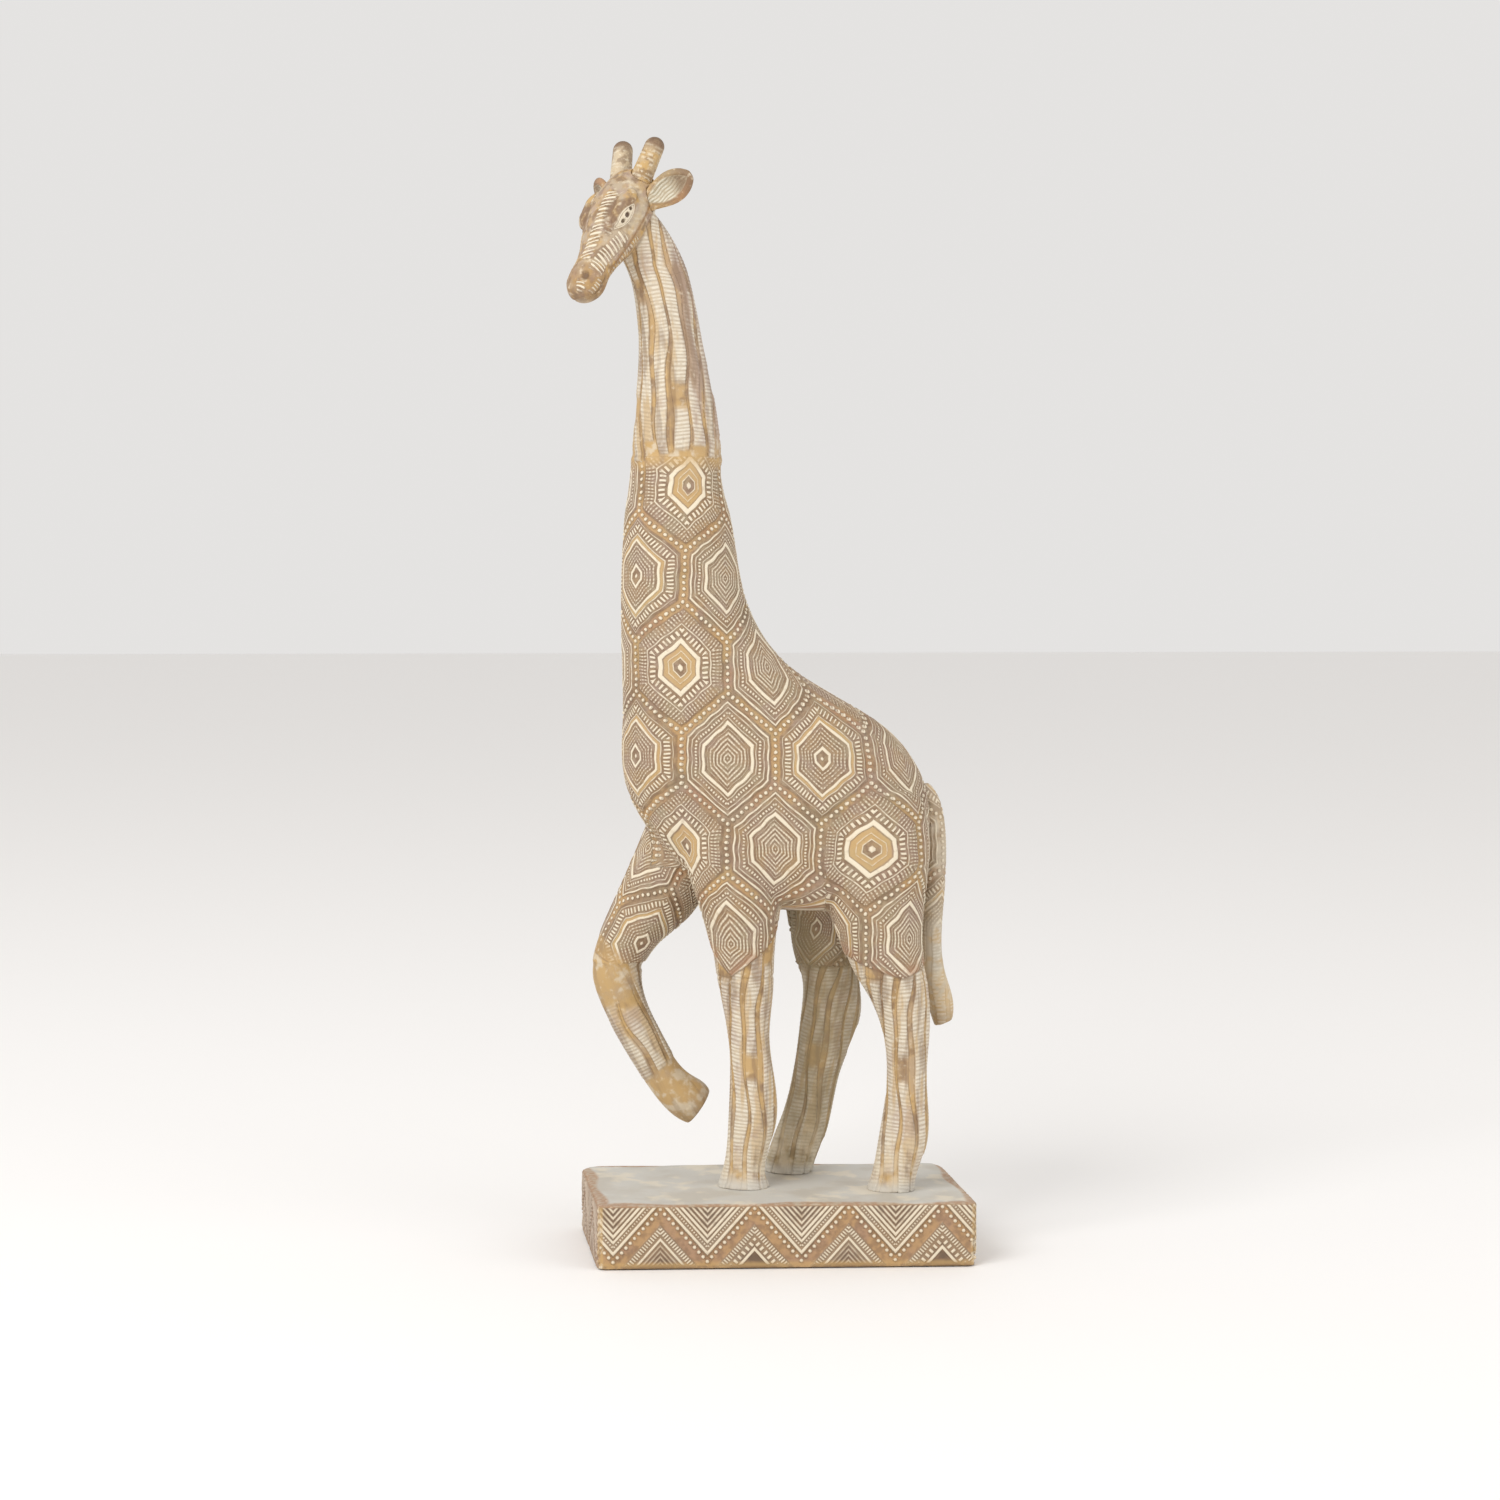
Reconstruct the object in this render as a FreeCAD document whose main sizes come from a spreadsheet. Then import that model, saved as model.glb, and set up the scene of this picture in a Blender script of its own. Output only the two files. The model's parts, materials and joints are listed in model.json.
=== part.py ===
import FreeCAD, Part
import Sketcher
import math
import os

# A giraffe figurine on a rectangular plinth, cast in polyresin sections to look carved.
# The sections meet on flat joints and are held together by steel rods and pins.
# Frame: the giraffe looks towards -X, its left side is towards -Y, and +Z is up.
# The origin is the centre of the felt face that rests on the shelf.
# Lengths are in millimetres and angles in degrees.

Vector = FreeCAD.Vector

SIZES = {
    "plinth_length": 105,
    "plinth_depth": 55,
    "plinth_top": 18,
    "plinth_front_corner": 2.5,
    "plinth_back_corner": 6,
    "plinth_rim_round": 1,
    "felt_margin": 4,
    "felt_thickness": 1.3,
    "felt_proud": 0.3,
    "felt_corner": 2,
    "glue_gap": 0.1,
    "hole_end_gap": 0.4,
    # The hexagon-patterned skin stands this much above the plain casting that joins it.
    "skin_step": 0.5,
    "leg_rod_radius": 1.5,
    "knee_pin_radius": 1.25,
    "neck_pin_radius": 2,
    "head_pin_radius": 1.5,
    "tail_pin_radius": 0.8,
    "ossicone_pin_radius": 0.8,
    "ear_pin_radius": 0.6,
    # The head's own frame sits at the poll: turned to the giraffe's left and dipped.
    "poll_x": -41.4,
    "poll_y": 2.6,
    "poll_height": 277.8,
    "head_turn": 38,
    "head_dip": 56.5,
    "ossicone_side": 4.4,
    "ossicone_above": 2.5,
    "ossicone_back": 4.6,
    "ossicone_splay": 13.5,
    "ossicone_rise": 14.5,
    "ossicone_base_radius": 3.1,
    "ossicone_tip_radius": 2.8,
    "ossicone_height": 11,
    "ossicone_depth": 2.2,
    "ossicone_pin_depth": 4.5,
    "ossicone_pin_length": 9.5,
    "ear_side": 7.3,
    "ear_below": 1.5,
    "ear_ahead": 1.7,
    "ear_sweep": 33,
    "ear_face_turn": 37,
    "brow_side": 6.3,
    "brow_above": 4.3,
    "brow_ahead": 8.5,
    "brow_half_length": 6.5,
    "brow_half_width": 3.1,
    "ear_pin_depth": 3.5,
    "ear_pin_length": 5.5,
    "ear_dish_along": 8,
    "ear_dish_length": 6.2,
    "ear_dish_half_width": 3.1,
    "ear_dish_depth": 1.3,
}

# The limbs, torso, neck and tail are lofted through elliptical sections, listed in order.
# Each row gives the centre's x and y, its height above the plinth, the half length along X,
# the half width along Y, and the lean: how far the section's axis tips towards +X going up.
SECTION_COLUMNS = ("x", "y", "height", "half_length", "half_width", "lean")
SECTIONS = {
    "torso": [
        (-28.3, 3, 205, 11.9, 11.2, 0),
        (-28, 3, 190, 14, 13, 0),
        (-26.9, 3, 172, 16, 15, 0),
        (-24.2, 3, 157, 18.7, 17.4, 0),
        (-17.3, 3, 143, 25.2, 19.4, 0),
        (-6, 3, 129, 36.5, 21, 0),
        (-0.4, 3, 115, 41.5, 21.6, 0),
        (4, 3, 101, 39.3, 21, 0),
        (8, 3, 89, 33.5, 18.8, 0),
        (11, 3, 81.5, 24, 14.5, 0),
        (11, 3, 78, 12, 8, 0),
    ],
    "shoulder_left": [
        (-14, -1, 110, 14.5, 13, 0),
        (-12, -4.5, 90, 13, 11.4, 0),
        (-10.2, -4.5, 74, 9.6, 9, 0),
        (-9, -3.5, 60, 7.7, 7.5, 0),
    ],
    "foreleg_left": [
        (-9, -3.5, 60, 7.7, 7.5, 0),
        (-8.2, -3, 50, 6.4, 6.2, 0),
        (-7.4, -3, 38, 5.5, 5.3, 0),
        (-6.5, -3, 20, 6.5, 6.2, 0),
        (-7.6, -3, 12, 5.8, 5.6, 0),
        (-9, -3, 0, 7.2, 6.8, 0),
    ],
    "haunch_left": [
        (22, -2, 112, 17, 13, 0),
        (26, -6, 91, 15.4, 12.6, 0),
        (28.3, -7, 72, 11.4, 10.4, 0),
        (31.6, -8, 60, 9.6, 8.8, 0),
    ],
    "hindleg_left": [
        (31.6, -8, 60, 9.6, 8.8, 0),
        (34.4, -8.5, 52, 7.6, 7.2, 0),
        (36, -9, 40, 5.7, 5.5, 0),
        (36, -9, 31, 5.3, 5.2, 0),
        (35.4, -9, 16, 6.5, 6.2, 0),
        (33.8, -9, 8, 6.2, 6, 0),
        (31.7, -9, 0, 6.5, 6.3, 0),
    ],
    "haunch_right": [
        (16, 9, 108, 17, 13, 0),
        (17.5, 12.5, 88, 14, 12, 0),
        (18, 14.5, 72, 11.4, 10.2, 0),
        (17.5, 15.5, 60, 8.6, 8.4, 0),
    ],
    "hindleg_right": [
        (17.5, 15.5, 60, 8.6, 8.4, 0),
        (18.9, 16.5, 51, 8, 7.5, 0),
        (18.3, 17, 43, 8.1, 7.3, 0),
        (15, 17, 30, 6.5, 6.2, 0),
        (11.7, 17, 16, 6.7, 6.3, 0),
        (9.8, 17, 10, 7, 6.4, 0),
        (6.7, 17, 0, 6.5, 6.3, 0),
    ],
    "shoulder_right": [
        (-20, 8, 106, 12, 11.6, 22),
        (-27, 11, 91, 11, 10.6, 23),
        (-33.3, 12.5, 78, 10.2, 9.4, 19),
        (-39, 13.5, 69.5, 8.6, 8.2, 6),
        (-43, 14, 61.5, 7, 6.8, 0),
    ],
    "foreleg_right": [
        (-43, 14, 61.5, 7.1, 6.9, 0),
        (-43.3, 14, 56, 6.7, 6.4, -7),
        (-41, 14, 48.5, 6, 5.7, -14),
        (-35, 14, 37, 5.5, 5.3, -26),
        (-28.5, 14, 26.8, 5.6, 5.4, -42),
        (-23.8, 14, 22.5, 6.3, 5.9, -50),
        (-19.8, 14, 19.4, 5.6, 5.2, -56),
    ],
    "neck": [
        (-28.3, 3, 205, 11.8, 11.1, 0),
        (-28.5, 3, 218, 10.2, 9.7, 0),
        (-29.5, 3, 232, 8.9, 8.5, 0),
        (-31.3, 3, 246, 8, 7.6, -8),
        (-33.1, 2.6, 254.5, 7.6, 7.2, -15),
    ],
    "nape": [
        (-33.1, 2.6, 254.5, 7.6, 7.2, -15),
        (-35.4, 2.6, 260.3, 7.3, 7, -21),
        (-38.2, 2.4, 265.2, 7, 6.8, -30),
        (-42, 1.6, 270.5, 6.4, 6.1, -38),
    ],
    "tail": [
        (42, 3, 113, 1.8, 1.7, -12),
        (44.3, 3, 107.5, 2.9, 2.7, -8),
        (45.7, 3, 95, 3.2, 3, -2),
        (45.4, 3, 79, 2.9, 2.8, 1),
        (45.1, 3, 64, 3, 2.8, -5),
        (47.2, 3, 53, 3.6, 3.3, -20),
        (48.6, 3, 45, 2.6, 2.3, -20),
    ],
}

# The skull's sections stand square to the head's axis, listed from the poll to the nose:
# distance ahead of the poll, half width from ear to ear, and half depth from brow to jaw.
SKULL_COLUMNS = ("ahead", "half_width", "half_depth")
SKULL = [
    (-6.2, 4, 3.4),
    (-3, 7, 6.3),
    (2.5, 8.4, 7.9),
    (10.5, 8.8, 8.3),
    (19.5, 6.5, 6.2),
    (24.5, 5.3, 5),
    (29.3, 5.7, 5.1),
    (33, 5, 4.4),
    (35.4, 2.9, 2.5),
]

# Each ear is a leaf, listed from its root inside the skull to its tip: distance along the ear,
# half width and half thickness.
EAR_COLUMNS = ("along", "half_width", "half_thickness")
EAR = [
    (-2, 2.5, 1.6),
    (3, 3.8, 1.6),
    (8, 4.6, 1.5),
    (12, 3.4, 1.2),
    (14.3, 1.2, 0.6),
]

# Steel rods and pins: x, y and height above the plinth of the lower end, length and lean.
ROD_COLUMNS = ("x", "y", "height", "length", "lean")
RODS = {
    "foreleg_left_rod": (-7.8, -3.2, -12, 88, 0),
    "hindleg_left_rod": (33.8, -8.7, -12, 86, 0),
    "hindleg_right_rod": (5.8, 16.4, -12, 88, 8.8),
    "foreleg_right_pin": (-42.4, 14, 52, 18, 0),
    "neck_pin": (-28.5, 3, 192, 26, 0),
    "head_pin": (-31.2, 2.6, 247.7, 15, -15),
    "tail_pin": (45.6, 3, 101, 9, -90),
}
ROD_RADII = {
    "foreleg_left_rod": "leg_rod_radius",
    "hindleg_left_rod": "leg_rod_radius",
    "hindleg_right_rod": "leg_rod_radius",
    "foreleg_right_pin": "knee_pin_radius",
    "neck_pin": "neck_pin_radius",
    "head_pin": "head_pin_radius",
    "tail_pin": "tail_pin_radius",
}
PLANTED_LEG_RODS = ("foreleg_left_rod", "hindleg_left_rod", "hindleg_right_rod")

doc = FreeCAD.newDocument("giraffe_figurine")
sheet = doc.addObject("Spreadsheet::Sheet", "sizes")
parts = []


def fill_sheet():
    """Put every driving dimension on its own row: name in column A, value in column B."""
    rows = dict(SIZES)
    for casting, sections in SECTIONS.items():
        for number, section in enumerate(sections):
            for column, value in zip(SECTION_COLUMNS, section):
                rows[f"{casting}_{number}_{column}"] = value
    for number, section in enumerate(SKULL):
        for column, value in zip(SKULL_COLUMNS, section):
            rows[f"skull_{number}_{column}"] = value
    for number, section in enumerate(EAR):
        for column, value in zip(EAR_COLUMNS, section):
            rows[f"ear_{number}_{column}"] = value
    for rod, values in RODS.items():
        for column, value in zip(ROD_COLUMNS, values):
            rows[f"{rod}_{column}"] = value
    for row, (alias, value) in enumerate(rows.items(), start=1):
        sheet.set(f"A{row}", alias)
        sheet.set(f"B{row}", str(value))
        sheet.setAlias(f"B{row}", alias)
    doc.recompute()


def size(alias):
    """The value of one cell of the sheet."""
    return float(sheet.get(alias))


def keep(item, node):
    """Name a finished object as a sub-part that gets its own file."""
    item.Label = node
    parts.append(item)
    return item


def stand(item, cells):
    """Bind an object's place and lean to its cells; heights count from the plinth's top."""
    item.Placement = FreeCAD.Placement(Vector(0, 0, 0), FreeCAD.Rotation(Vector(0, 1, 0), 1))
    item.setExpression("Placement.Base.x", f"sizes.{cells}_x")
    item.setExpression("Placement.Base.y", f"sizes.{cells}_y")
    item.setExpression("Placement.Base.z", f"sizes.plinth_top + sizes.{cells}_height")
    item.setExpression("Placement.Rotation.Angle", f"sizes.{cells}_lean")


def ellipse(name, half_long, half_short):
    """An ellipse whose two half axes are expressions on the sheet."""
    ring = doc.addObject("Part::Ellipse", name)
    ring.setExpression("MajorRadius", half_long)
    ring.setExpression("MinorRadius", half_short)
    return ring


def loft(name, rings):
    """A smooth solid through closed sections."""
    solid = doc.addObject("Part::Loft", name)
    solid.Sections = rings
    solid.Solid = True
    solid.Ruled = False
    solid.MaxDegree = 3
    return solid


def section_loft(name, casting, growth="0"):
    """Loft a casting through its sections, each grown outwards by the same amount."""
    rings = []
    for number in range(len(SECTIONS[casting])):
        cells = f"{casting}_{number}"
        ring = ellipse(
            f"{name}_ring_{number}",
            f"sizes.{cells}_half_length + {growth}",
            f"sizes.{cells}_half_width + {growth}",
        )
        stand(ring, cells)
        rings.append(ring)
    return loft(name, rings)


def fuse(name, items):
    """Join several solids into one."""
    joined = doc.addObject("Part::MultiFuse", name)
    joined.Shapes = items
    return joined


def cut(name, base, tools):
    """Take several tool solids out of a base solid."""
    tool = tools[0] if len(tools) == 1 else fuse(f"{name}_tools", tools)
    result = doc.addObject("Part::Cut", name)
    result.Base = base
    result.Tool = tool
    return result


def cylinder(name, radius, length, placement):
    """A cylinder with its radius and length bound to the sheet."""
    rod = doc.addObject("Part::Cylinder", name)
    rod.setExpression("Radius", radius)
    rod.setExpression("Height", length)
    rod.Placement = placement
    return rod


def steel_rod(node):
    """A rod or pin that stands at its own cells."""
    radius = f"sizes.{ROD_RADII[node]}"
    rod = cylinder(f"{node}_steel", radius, f"sizes.{node}_length", FreeCAD.Placement())
    stand(rod, node)
    return keep(rod, node)


def rod_hole(node, user):
    """The hole for a rod: wider by the glue gap, and longer by the end gap at each end."""
    lean = math.radians(size(f"{node}_lean"))
    gap = size("hole_end_gap")
    start = Vector(size(f"{node}_x"), size(f"{node}_y"), size("plinth_top") + size(f"{node}_height"))
    start -= Vector(math.sin(lean), 0, math.cos(lean)) * gap
    turn = FreeCAD.Rotation(Vector(0, 1, 0), size(f"{node}_lean"))
    radius = f"sizes.{ROD_RADII[node]} + sizes.glue_gap"
    length = f"sizes.{node}_length + 2 * sizes.hole_end_gap"
    return cylinder(f"{user}_{node}_hole", radius, length, FreeCAD.Placement(start, turn))


def head_frame():
    """The head's frame: X to its left ear, Y out of the brow, Z towards the nose."""
    turn = math.radians(size("head_turn"))
    dip = math.radians(size("head_dip"))
    ahead = Vector(-math.cos(turn) * math.cos(dip), -math.sin(turn) * math.cos(dip), -math.sin(dip))
    left = Vector(math.sin(turn), -math.cos(turn), 0)
    brow = ahead.cross(left)
    poll = Vector(size("poll_x"), size("poll_y"), size("plinth_top") + size("poll_height"))
    return FreeCAD.Placement(poll, FreeCAD.Rotation(left, brow, ahead, "ZXY"))


def skull():
    """The head from poll to nose, in the head's frame."""
    rings = []
    for number in range(len(SKULL)):
        cells = f"sizes.skull_{number}"
        ring = ellipse(f"skull_ring_{number}", f"{cells}_half_width", f"{cells}_half_depth")
        ring.setExpression("Placement.Base.z", f"{cells}_ahead")
        rings.append(ring)
    shape = loft("skull", rings)
    shape.Placement = head_frame()
    return shape


def brow(side):
    """The bony ridge over one eye."""
    ridge = doc.addObject("Part::Ellipsoid", f"brow_{side + 1}")
    ridge.setExpression("Radius1", "sizes.brow_half_length")
    ridge.setExpression("Radius2", "sizes.brow_half_width")
    ridge.setExpression("Radius3", "sizes.brow_half_width")
    place = Vector(side * size("brow_side"), size("brow_above"), size("brow_ahead"))
    ridge.Placement = head_frame().multiply(FreeCAD.Placement(place, FreeCAD.Rotation()))
    return ridge


def ossicone_frame(side):
    """Where one ossicone meets the skull: Z runs out along the ossicone. Left is side 1."""
    splay = math.radians(size("ossicone_splay"))
    rise = math.radians(size("ossicone_rise"))
    out = Vector(side * math.sin(splay), math.sin(rise), -math.cos(splay) * math.cos(rise))
    base = Vector(side * size("ossicone_side"), size("ossicone_above"), -size("ossicone_back"))
    local = FreeCAD.Placement(base, FreeCAD.Rotation(Vector(0, 0, 1), out))
    return head_frame().multiply(local)


def ear_axes(side):
    """Directions along one ear and out of its open face, in the head's frame."""
    sweep = math.radians(size("ear_sweep"))
    face = math.radians(size("ear_face_turn"))
    along = Vector(side * math.cos(sweep), 0, -math.sin(sweep))
    ahead = Vector(side * math.sin(sweep), 0, math.cos(sweep))
    out = ahead * math.cos(face) + Vector(0, 1, 0) * math.sin(face)
    return along, out


def ear_placement(side, distance, rise=0):
    """A frame on the ear's centre line: X across the ear, Y out of its face, Z along it."""
    along, out = ear_axes(side)
    across = out.cross(along)
    root = Vector(side * size("ear_side"), -size("ear_below"), size("ear_ahead"))
    centre = root + along * distance + out * rise
    local = FreeCAD.Placement(centre, FreeCAD.Rotation(across, out, along, "ZXY"))
    return head_frame().multiply(local)


def ear_leaf(name, side, growth="0"):
    """The leaf shape of one ear, grown outwards by the same amount all round."""
    rings = []
    for number in range(len(EAR)):
        cells = f"sizes.ear_{number}"
        half_width = f"{cells}_half_width + {growth}"
        ring = ellipse(f"{name}_ring_{number}", half_width, f"{cells}_half_thickness + {growth}")
        ring.Placement = ear_placement(side, size(f"ear_{number}_along"))
        rings.append(ring)
    return loft(name, rings)


def rectangle_sketch(body, name, length, depth):
    """A sketch of a rectangle centred on the body's XY plane, its sides bound to the sheet."""
    sketch = body.newObject("Sketcher::SketchObject", name)
    plane = [item for item in body.Origin.OriginFeatures if item.Role == "XY_Plane"][0]
    sketch.AttachmentSupport = (plane, "")
    sketch.MapMode = "FlatFace"
    corners = [Vector(-1, -1, 0), Vector(1, -1, 0), Vector(1, 1, 0), Vector(-1, 1, 0)]
    for number in range(4):
        sketch.addGeometry(Part.LineSegment(corners[number], corners[(number + 1) % 4]))
    for number in range(4):
        sketch.addConstraint(Sketcher.Constraint("Coincident", number, 2, (number + 1) % 4, 1))
    for number in (0, 2):
        sketch.addConstraint(Sketcher.Constraint("Horizontal", number))
    for number in (1, 3):
        sketch.addConstraint(Sketcher.Constraint("Vertical", number))
    sketch.addConstraint(Sketcher.Constraint("Symmetric", 0, 1, 1, 2, -1, 1))
    across = sketch.addConstraint(Sketcher.Constraint("DistanceX", 0, 1, 0, 2, 2))
    up = sketch.addConstraint(Sketcher.Constraint("DistanceY", 1, 1, 1, 2, 2))
    sketch.setExpression(f"Constraints[{across}]", length)
    sketch.setExpression(f"Constraints[{up}]", depth)
    return sketch


def edges_at(shape, test):
    """Names of the edges whose middle point passes a test."""
    names = []
    for number, edge in enumerate(shape.Edges, start=1):
        middle = edge.valueAt((edge.FirstParameter + edge.LastParameter) / 2)
        if test(middle):
            names.append(f"Edge{number}")
    return names


def round_edges(body, name, feature, edges, radius):
    """Fillet some edges of a body's last feature."""
    fillet = body.newObject("PartDesign::Fillet", name)
    fillet.Base = (feature, edges)
    fillet.setExpression("Radius", radius)
    doc.recompute()
    return fillet


def plinth_block():
    """The plinth with rounded corners and rim, and a shallow recess below for the felt."""
    body = doc.addObject("PartDesign::Body", "plinth_block")
    outline = rectangle_sketch(body, "plinth_outline", "sizes.plinth_length", "sizes.plinth_depth")
    outline.setExpression("AttachmentOffset.Base.z", "sizes.felt_proud")
    block = body.newObject("PartDesign::Pad", "plinth_pad")
    block.Profile = outline
    block.setExpression("Length", "sizes.plinth_top - sizes.felt_proud")
    doc.recompute()
    middle = (size("plinth_top") + size("felt_proud")) / 2

    front = edges_at(block.Shape, lambda p: abs(p.z - middle) < 0.1 and p.y < 0)
    corners = round_edges(body, "front_corners", block, front, "sizes.plinth_front_corner")
    back = edges_at(
        corners.Shape,
        lambda p: abs(p.z - middle) < 0.1 and p.y > size("plinth_depth") / 2 - 0.01,
    )
    corners = round_edges(body, "back_corners", corners, back, "sizes.plinth_back_corner")
    top = edges_at(corners.Shape, lambda p: p.z > size("plinth_top") - 0.01)
    rim = round_edges(body, "top_rim", corners, top, "sizes.plinth_rim_round")

    recess_length = "sizes.plinth_length - 2 * sizes.felt_margin + 2 * sizes.glue_gap"
    recess_depth = "sizes.plinth_depth - 2 * sizes.felt_margin + 2 * sizes.glue_gap"
    recess = rectangle_sketch(body, "felt_recess_outline", recess_length, recess_depth)
    recess.setExpression("AttachmentOffset.Base.z", "sizes.felt_proud")
    pocket = body.newObject("PartDesign::Pocket", "felt_recess")
    pocket.Profile = recess
    pocket.Reversed = True
    pocket.setExpression("Length", "sizes.felt_thickness - sizes.felt_proud")
    doc.recompute()
    if pocket.Shape.Volume > rim.Shape.Volume - 1:
        raise SystemExit("the felt recess cuts nothing")
    return body


def felt_sheet():
    """The felt under the plinth; it stands slightly proud and rests on the shelf."""
    body = doc.addObject("PartDesign::Body", "felt")
    length = "sizes.plinth_length - 2 * sizes.felt_margin"
    depth = "sizes.plinth_depth - 2 * sizes.felt_margin"
    outline = rectangle_sketch(body, "felt_outline", length, depth)
    pad = body.newObject("PartDesign::Pad", "felt_pad")
    pad.Profile = outline
    pad.setExpression("Length", "sizes.felt_thickness")
    doc.recompute()
    middle = size("felt_thickness") / 2
    corners = edges_at(pad.Shape, lambda p: abs(p.z - middle) < 0.01)
    round_edges(body, "felt_corners", pad, corners, "sizes.felt_corner")
    return keep(body, "felt_sheet")


def plinth():
    """The plinth, drilled for the rods of the three planted legs."""
    holes = [rod_hole(node, "plinth") for node in PLANTED_LEG_RODS]
    return keep(cut("plinth_drilled", plinth_block(), holes), "plinth")


def body_casting():
    """Torso, lower neck and upper legs in one casting, cut away for the tail and the rods."""
    skin = "sizes.skin_step"
    lumps = [section_loft("torso_lump", "torso", skin)]
    for limb in ("shoulder_left", "shoulder_right", "haunch_left", "haunch_right"):
        lumps.append(section_loft(f"{limb}_lump", limb, skin))
    holes = [rod_hole(node, "body") for node in RODS if node != "head_pin"]
    tools = [section_loft("tail_seat", "tail", "sizes.glue_gap")] + holes
    return keep(cut("body_cut", fuse("body_lumps", lumps), tools), "body_casting")


def leg_castings():
    """The bark-patterned lower legs, each drilled for its own rod or pin."""
    rods = {
        "foreleg_left": "foreleg_left_rod",
        "foreleg_right": "foreleg_right_pin",
        "hindleg_left": "hindleg_left_rod",
        "hindleg_right": "hindleg_right_rod",
    }
    for leg, rod in rods.items():
        shank = section_loft(f"{leg}_shank", leg)
        keep(cut(f"{leg}_cut", shank, [rod_hole(rod, leg)]), f"{leg}_lower")


def upper_neck():
    """The bark-patterned neck between the body casting and the head."""
    holes = [rod_hole("neck_pin", "neck"), rod_hole("head_pin", "neck")]
    return keep(cut("neck_cut", section_loft("neck_lump", "neck"), holes), "upper_neck")


def tail():
    """The tail with its tuft, drilled for the pin that holds it to the rump."""
    strand = section_loft("tail_strand", "tail")
    return keep(cut("tail_cut", strand, [rod_hole("tail_pin", "tail")]), "tail")


def ossicone(side, name):
    """One horn-like ossicone: a short tapered post with a domed end, turned about its axis."""
    body = doc.addObject("PartDesign::Body", f"{name}_post")
    sketch = body.newObject("Sketcher::SketchObject", f"{name}_profile")
    plane = [item for item in body.Origin.OriginFeatures if item.Role == "XZ_Plane"][0]
    sketch.AttachmentSupport = (plane, "")
    sketch.MapMode = "FlatFace"
    base = size("ossicone_base_radius")
    tip = size("ossicone_tip_radius")
    bottom = -size("ossicone_depth")
    top = size("ossicone_height")
    bend = Part.Circle(Vector(0, top - tip, 0), Vector(0, 0, 1), tip)
    sketch.addGeometry(Part.LineSegment(Vector(0, bottom, 0), Vector(base, bottom, 0)))
    sketch.addGeometry(Part.LineSegment(Vector(base, bottom, 0), Vector(tip, top - tip, 0)))
    sketch.addGeometry(Part.ArcOfCircle(bend, 0, math.pi / 2))
    sketch.addGeometry(Part.LineSegment(Vector(0, top, 0), Vector(0, bottom, 0)))
    post = body.newObject("PartDesign::Revolution", f"{name}_turned")
    post.Profile = sketch
    post.ReferenceAxis = (sketch, ["V_Axis"])
    post.Angle = 360
    body.Placement = ossicone_frame(side)
    return keep(cut(f"{name}_cut", body, [ossicone_hole(side, name)]), name)


def ossicone_pin_frame(side, extra):
    """The lower end of an ossicone's pin, set deeper by an extra length."""
    offset = FreeCAD.Placement(Vector(0, 0, -size("ossicone_pin_depth") - extra), FreeCAD.Rotation())
    return ossicone_frame(side).multiply(offset)


def ossicone_hole(side, user):
    """The hole for an ossicone's pin."""
    frame = ossicone_pin_frame(side, size("hole_end_gap"))
    radius = "sizes.ossicone_pin_radius + sizes.glue_gap"
    length = "sizes.ossicone_pin_length + 2 * sizes.hole_end_gap"
    return cylinder(f"{user}_pin_hole_{side + 1}", radius, length, frame)


def ossicone_seat(side):
    """The socket in the skull that one ossicone is glued into."""
    offset = FreeCAD.Placement(Vector(0, 0, -size("ossicone_depth")), FreeCAD.Rotation())
    frame = ossicone_frame(side).multiply(offset)
    radius = "sizes.ossicone_base_radius + sizes.glue_gap"
    return cylinder(f"ossicone_seat_{side + 1}", radius, "sizes.ossicone_height", frame)


def ear_hole(side, user):
    """The hole for an ear's pin."""
    frame = ear_placement(side, -size("ear_pin_depth") - size("hole_end_gap"))
    radius = "sizes.ear_pin_radius + sizes.glue_gap"
    length = "sizes.ear_pin_length + 2 * sizes.hole_end_gap"
    return cylinder(f"{user}_ear_hole_{side + 1}", radius, length, frame)


def ear(side, node):
    """One leaf-shaped ear, dished on its open face."""
    dish = doc.addObject("Part::Ellipsoid", f"{node}_dish")
    dish.setExpression("Radius1", "sizes.ear_dish_depth")
    dish.setExpression("Radius2", "sizes.ear_dish_length")
    dish.setExpression("Radius3", "sizes.ear_dish_half_width")
    upright = FreeCAD.Placement(
        Vector(0, 0, 0), FreeCAD.Rotation(Vector(0, 0, 1), Vector(1, 0, 0), Vector(0, 1, 0), "ZXY")
    )
    face = ear_placement(side, size("ear_dish_along"), size("ear_1_half_thickness"))
    dish.Placement = face.multiply(upright)
    leaf = ear_leaf(f"{node}_leaf", side)
    return keep(cut(f"{node}_cut", leaf, [dish, ear_hole(side, node)]), node)


def head():
    """Skull and nape in one casting, with sockets for the ears and ossicones."""
    lumps = [skull(), brow(1), brow(-1), section_loft("nape_lump", "nape")]
    tools = [rod_hole("head_pin", "head")]
    for side in (1, -1):
        tools.append(ossicone_seat(side))
        tools.append(ossicone_hole(side, "head"))
        tools.append(ear_leaf(f"ear_seat_{side + 1}", side, "sizes.glue_gap"))
        tools.append(ear_hole(side, "head"))
    return keep(cut("head_cut", fuse("head_lumps", lumps), tools), "head")


def head_pins(side, word):
    """The steel pins of one ossicone and one ear."""
    pin = cylinder(
        f"ossicone_{word}_steel",
        "sizes.ossicone_pin_radius",
        "sizes.ossicone_pin_length",
        ossicone_pin_frame(side, 0),
    )
    keep(pin, f"ossicone_{word}_pin")
    pin = cylinder(
        f"ear_{word}_steel",
        "sizes.ear_pin_radius",
        "sizes.ear_pin_length",
        ear_placement(side, -size("ear_pin_depth")),
    )
    keep(pin, f"ear_{word}_pin")


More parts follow.
